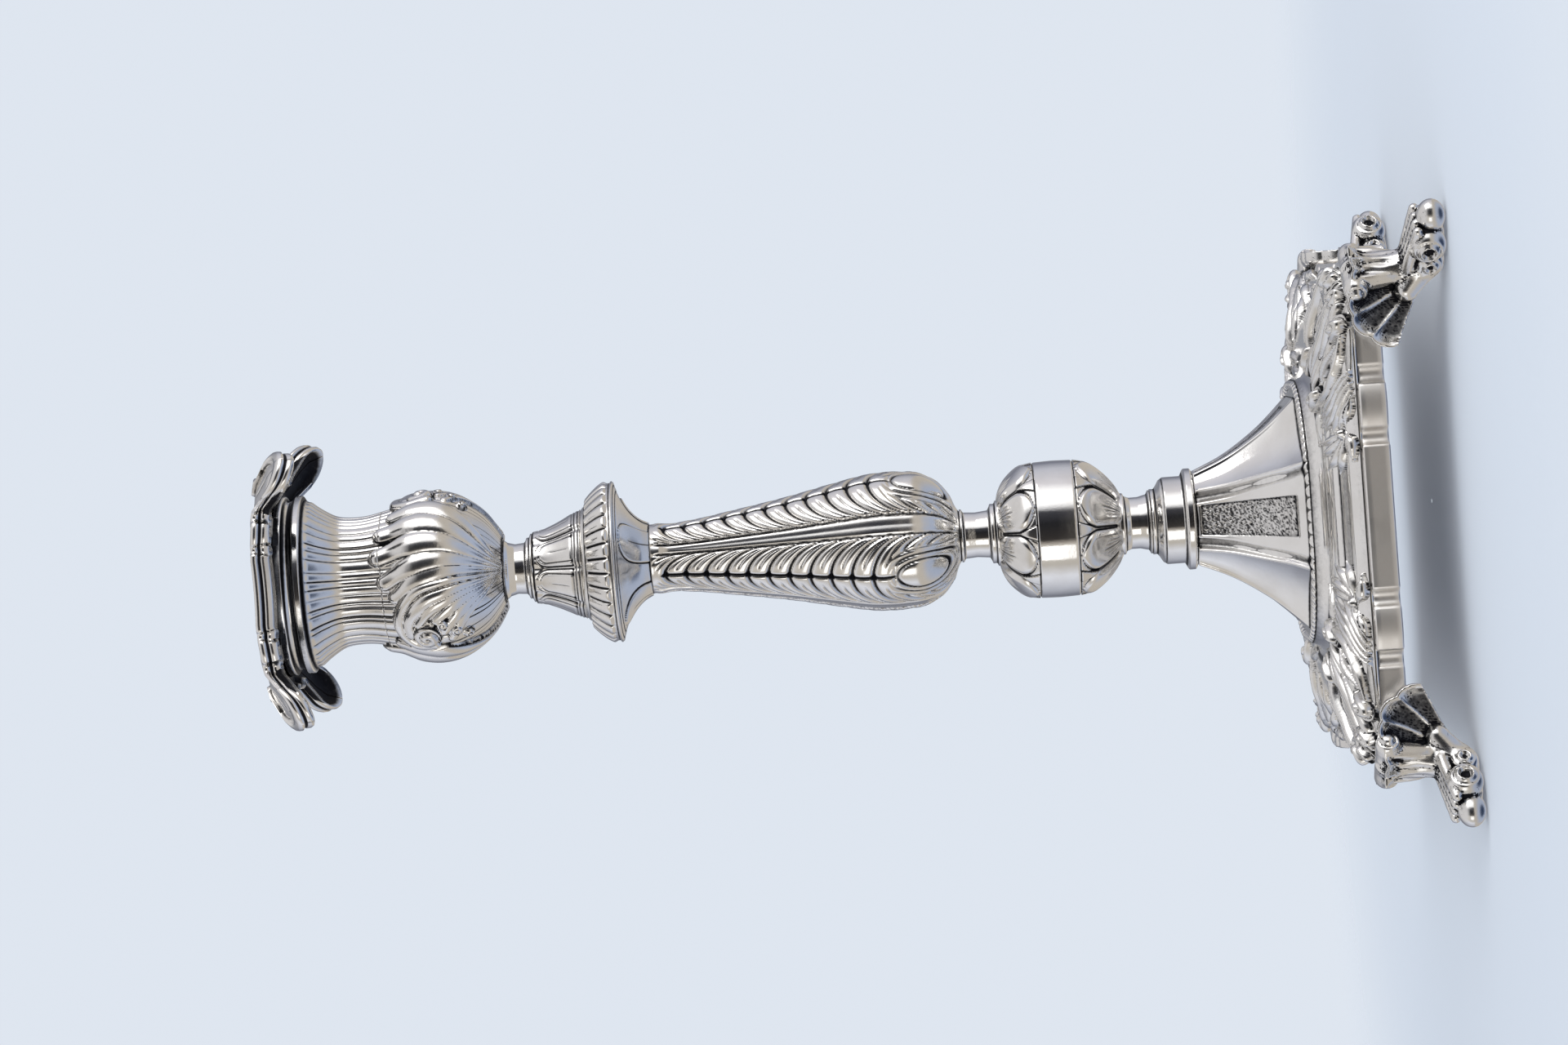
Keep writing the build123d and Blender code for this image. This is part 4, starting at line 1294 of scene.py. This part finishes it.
PAN_SURFACE = [  # distance from the axis, height over the pan's flat middle
    (12.25, 0.0), (20.5, 0.0), (24.0, 0.9), (27.5, 1.6),
    (32.0, 0.5), (38.5, -3.0), (44.0, -7.0), (48.0, -10.4),
]


def drip_pan():
    """The square pan: cusped sides with a deep stepped edge, and a drooping tongue at each corner."""
    top = levels("cup_rim")[1] + 1.8
    eighth = cusped_eighth(26.4, 9.0, 5.0, 2.6, (29.8, 22.4), 31.2, 0.35)
    loop = four_times(eighth)
    radius = np.hypot(loop[:, 0], loop[:, 1])
    bearing = np.arctan2(loop[:, 1], loop[:, 0])
    direction = loop / radius[:, None]
    surface = np.array(PAN_SURFACE)

    def level(r):
        return top + np.interp(r, surface[:, 0], surface[:, 1])

    hole = PAN_SURFACE[0][0]
    rows, tarnish = [], []
    diagonal = centred(bearing - pi / 4, pi / 2)
    for share in np.linspace(0, 1, 46):
        r = hole + (radius - hole) * share
        edge = (1 - share) * (radius - hole)
        rim = 0.9 * (1 - ramp(1.7, 2.3, edge))
        line = cut(edge - 2.3, 0.35) + 0.8 * cut(edge - 3.3, 0.3)
        side = diagonal * r
        tongue = ramp(30, 34, r)
        vein = tongue * cut(side, 0.35) * (1 - ramp(36, 40, r))
        height = level(r) + rim - 0.3 * line - 0.25 * vein
        rows.append(level_row(direction * r[:, None], height))
        tarnish.append(0.9 * line + 0.8 * vein + 0 * radius)
    normals = loop_normals(loop)
    edge_level = level(radius) + 0.9
    depth = 3.9
    wall = [(0.25, -0.3), (0.35, -0.8), (0.3, -1.5), (-0.35, -1.75), (-0.45, -2.3), (-0.2, -2.5),
            (-0.25, -3.4), (-0.6, -depth)]
    for offset, drop in wall:
        rows.append(level_row(loop + offset * normals, edge_level + drop))
        tarnish.append(np.full(len(loop), 0.9 if offset < -0.3 and drop > -3 else 0.05))
    for share in (0.955, 0.93, 0.9, 0.8, 0.6, 0.4):
        r = hole + (radius - hole) * share
        thickness = 1.9 + 2.2 * ramp(0.9, 0.955, share)
        lowest = top - 1.8 - 40 * (r > 21.8)  # no limit outside the seat on the cup's rim
        rows.append(level_row(direction * r[:, None], np.maximum(level(r) - thickness, lowest)))
        tarnish.append(np.full(len(loop), 0.25 + 0.6 * (share < 0.95)))
    rows.append(level_row(direction * 22.0, top - 1.8))
    tarnish.append(np.full(len(loop), 0.6))
    rows.append(level_row(direction * hole, top - 1.8))
    tarnish.append(np.full(len(loop), 0.3))
    points, dark = np.array(rows), np.array(tarnish)
    grid_piece("drip_pan", points[::-1], dark[::-1], OXIDISED)


base_plate()
base_moulding()
base_cone()
corner_ornaments()
feet()
drip_pan()
rings_and_necks()
knop()
baluster()
flange()
bulb()
bowl_and_sleeve()

for node, item in frame["nodes"].items():
    item.data.materials.clear()
    item.data.materials.append(MATERIALS[slot_of[node]])

# ---------------------------------------------------------------- stage, light and camera


def studio_world():
    """A pale backdrop; for reflections, a bright room with one dark side towards the camera."""
    world = bpy.data.worlds.new("studio")
    bpy.context.scene.world = world
    world.use_nodes = True
    tree = world.node_tree
    tree.nodes.clear()
    link = tree.links.new
    add = adder(tree)
    place = add("ShaderNodeTexCoord")
    parts = add("ShaderNodeSeparateXYZ")
    link(place.outputs["Generated"], parts.inputs["Vector"])
    towards = add("ShaderNodeMath", operation="MULTIPLY")
    towards.inputs[1].default_value = -1.0
    link(parts.outputs["Y"], towards.inputs[0])
    bearing = add("ShaderNodeMath", operation="ARCTAN2")
    link(parts.outputs["X"], bearing.inputs[0])
    link(towards.outputs["Value"], bearing.inputs[1])
    share = add("ShaderNodeMapRange", **{"From Min": -pi, "From Max": pi})
    link(bearing.outputs["Value"], share.inputs["Value"])
    room = add("ShaderNodeValToRGB")
    stops = [  # bearing from the camera side in degrees, then the colour seen there
        (-180, (0.30, 0.31, 0.34)),
        (-150, (0.17, 0.18, 0.22)),
        (-120, (0.46, 0.48, 0.55)),
        (-85, (0.74, 0.76, 0.83)),
        (-60, (0.50, 0.47, 0.43)),
        (-28, (0.60, 0.56, 0.51)),
        (-20, (0.30, 0.27, 0.24)),
        (-16, (0.030, 0.026, 0.024)),
        (12, (0.012, 0.012, 0.014)),
        (33, (0.045, 0.045, 0.055)),
        (44, (1.10, 1.10, 1.12)),
        (60, (1.50, 1.50, 1.50)),
        (85, (0.72, 0.70, 0.74)),
        (125, (0.52, 0.53, 0.60)),
        (155, (0.18, 0.19, 0.24)),
        (180, (0.30, 0.31, 0.34)),
    ]
    while len(room.color_ramp.elements) < len(stops):
        room.color_ramp.elements.new(0.5)
    for element, (degrees, colour) in zip(room.color_ramp.elements, stops):
        element.position = (degrees + 180) / 360
        element.color = (*colour, 1)
    link(share.outputs["Result"], room.inputs["Fac"])

    surround = room.outputs["Color"]
    ends = [  # from this height of view, to this, the colour overhead, low in front and underfoot
        (0.45, 0.85, (0.66, 0.65, 0.66)),
        (-0.15, -0.19, (0.52, 0.48, 0.43)),
        (-0.35, -0.80, (0.40, 0.46, 0.60)),
        (-0.84, -0.97, (0.035, 0.055, 0.11)),
    ]
    for start, full, colour in ends:
        span = {"From Min": min(start, full), "From Max": max(start, full)}
        to = {"To Min": float(start > full), "To Max": float(start < full)}
        share_up = add("ShaderNodeMapRange", interpolation_type="SMOOTHSTEP", **span, **to)
        link(parts.outputs["Z"], share_up.inputs["Value"])
        blend = add("ShaderNodeMix", data_type="RGBA")
        blend.inputs["B"].default_value = (*colour, 1)
        link(share_up.outputs["Result"], blend.inputs["Factor"])
        link(surround, blend.inputs["A"])
        surround = blend.outputs["Result"]

    ray = add("ShaderNodeLightPath")
    seen = add("ShaderNodeMix", data_type="RGBA")
    seen.inputs["A"].default_value = (0.735, 0.79, 0.87, 1)
    link(ray.outputs["Is Glossy Ray"], seen.inputs["Factor"])
    link(surround, seen.inputs["B"])
    background = add("ShaderNodeBackground")
    link(seen.outputs["Result"], background.inputs["Color"])
    output = add("ShaderNodeOutputWorld")
    link(background.outputs["Background"], output.inputs["Surface"])


def floor():
    """A pale round floor that fades out into the backdrop."""
    columns, rings = 96, 24
    radius = np.linspace(0.5, 420, rings)[:, None]
    angle = np.linspace(0, 2 * pi, columns, endpoint=False)[None, :]
    points = np.stack([radius * np.cos(angle), radius * np.sin(angle), 0 * radius + 0 * angle], axis=-1)
    material, tree, shader, add = nodes_of("pale_floor")
    link = tree.links.new
    place = add("ShaderNodeTexCoord")
    distance = add("ShaderNodeVectorMath", operation="LENGTH")
    link(place.outputs["Object"], distance.inputs[0])
    fade_over = {"From Min": 0.16, "From Max": 0.40, "To Min": 1.0, "To Max": 0.0}
    fade = add("ShaderNodeMapRange", interpolation_type="SMOOTHSTEP", **fade_over)
    link(distance.outputs["Value"], fade.inputs["Value"])
    link(fade.outputs["Result"], shader.inputs["Alpha"])
    shader.inputs["Base Color"].default_value = (0.86, 0.90, 0.95, 1)
    shader.inputs["Roughness"].default_value = 0.6
    quads = ring_quads(rings, columns, False)
    item = make_object("floor", points.reshape(-1, 3), quads, np.zeros(rings * columns), material)
    item.visible_glossy = False


def area_light(name, place, target, size, power, colour):
    """A soft square light at a place, facing a target, all in metres."""
    light = bpy.data.lights.new(name, "AREA")
    light.shape = "SQUARE"
    light.size = size
    light.energy = power
    light.color = colour
    item = bpy.data.objects.new(name, light)
    item.location = place
    item.rotation_euler = (Vector(target) - Vector(place)).to_track_quat("-Z", "Y").to_euler()
    bpy.context.scene.collection.objects.link(item)


def camera():
    """The photograph's view, fitted to the stem and the near feet: a long lens, turned on its side."""
    place = Vector((0.05557, -1.16993, 0.13116))
    forward = Vector((-0.04197, 0.99890, 0.02104))
    up = Vector((0.99628, 0.04342, -0.07446))
    lens = bpy.data.cameras.new("photo_view")
    lens.sensor_width = 36.0
    lens.lens = 111.5
    lens.clip_start = 0.01
    item = bpy.data.objects.new("photo_view", lens)
    right = forward.cross(up).normalized()
    up = right.cross(forward).normalized()
    item.matrix_world = Matrix.Translation(place) @ Matrix((right, up, -forward)).transposed().to_4x4()
    bpy.context.scene.collection.objects.link(item)
    bpy.context.scene.camera = item


studio_world()
floor()
middle = (0, 0, 0.14)
area_light("upper_softbox", (0.9, -0.35, 0.5), middle, 0.7, 2.2, (1.0, 0.99, 0.97))
area_light("lower_softbox", (-0.7, -0.9, 0.2), middle, 0.5, 0.7, (0.95, 0.97, 1.0))
camera()
bpy.context.scene.view_settings.view_transform = "Standard"
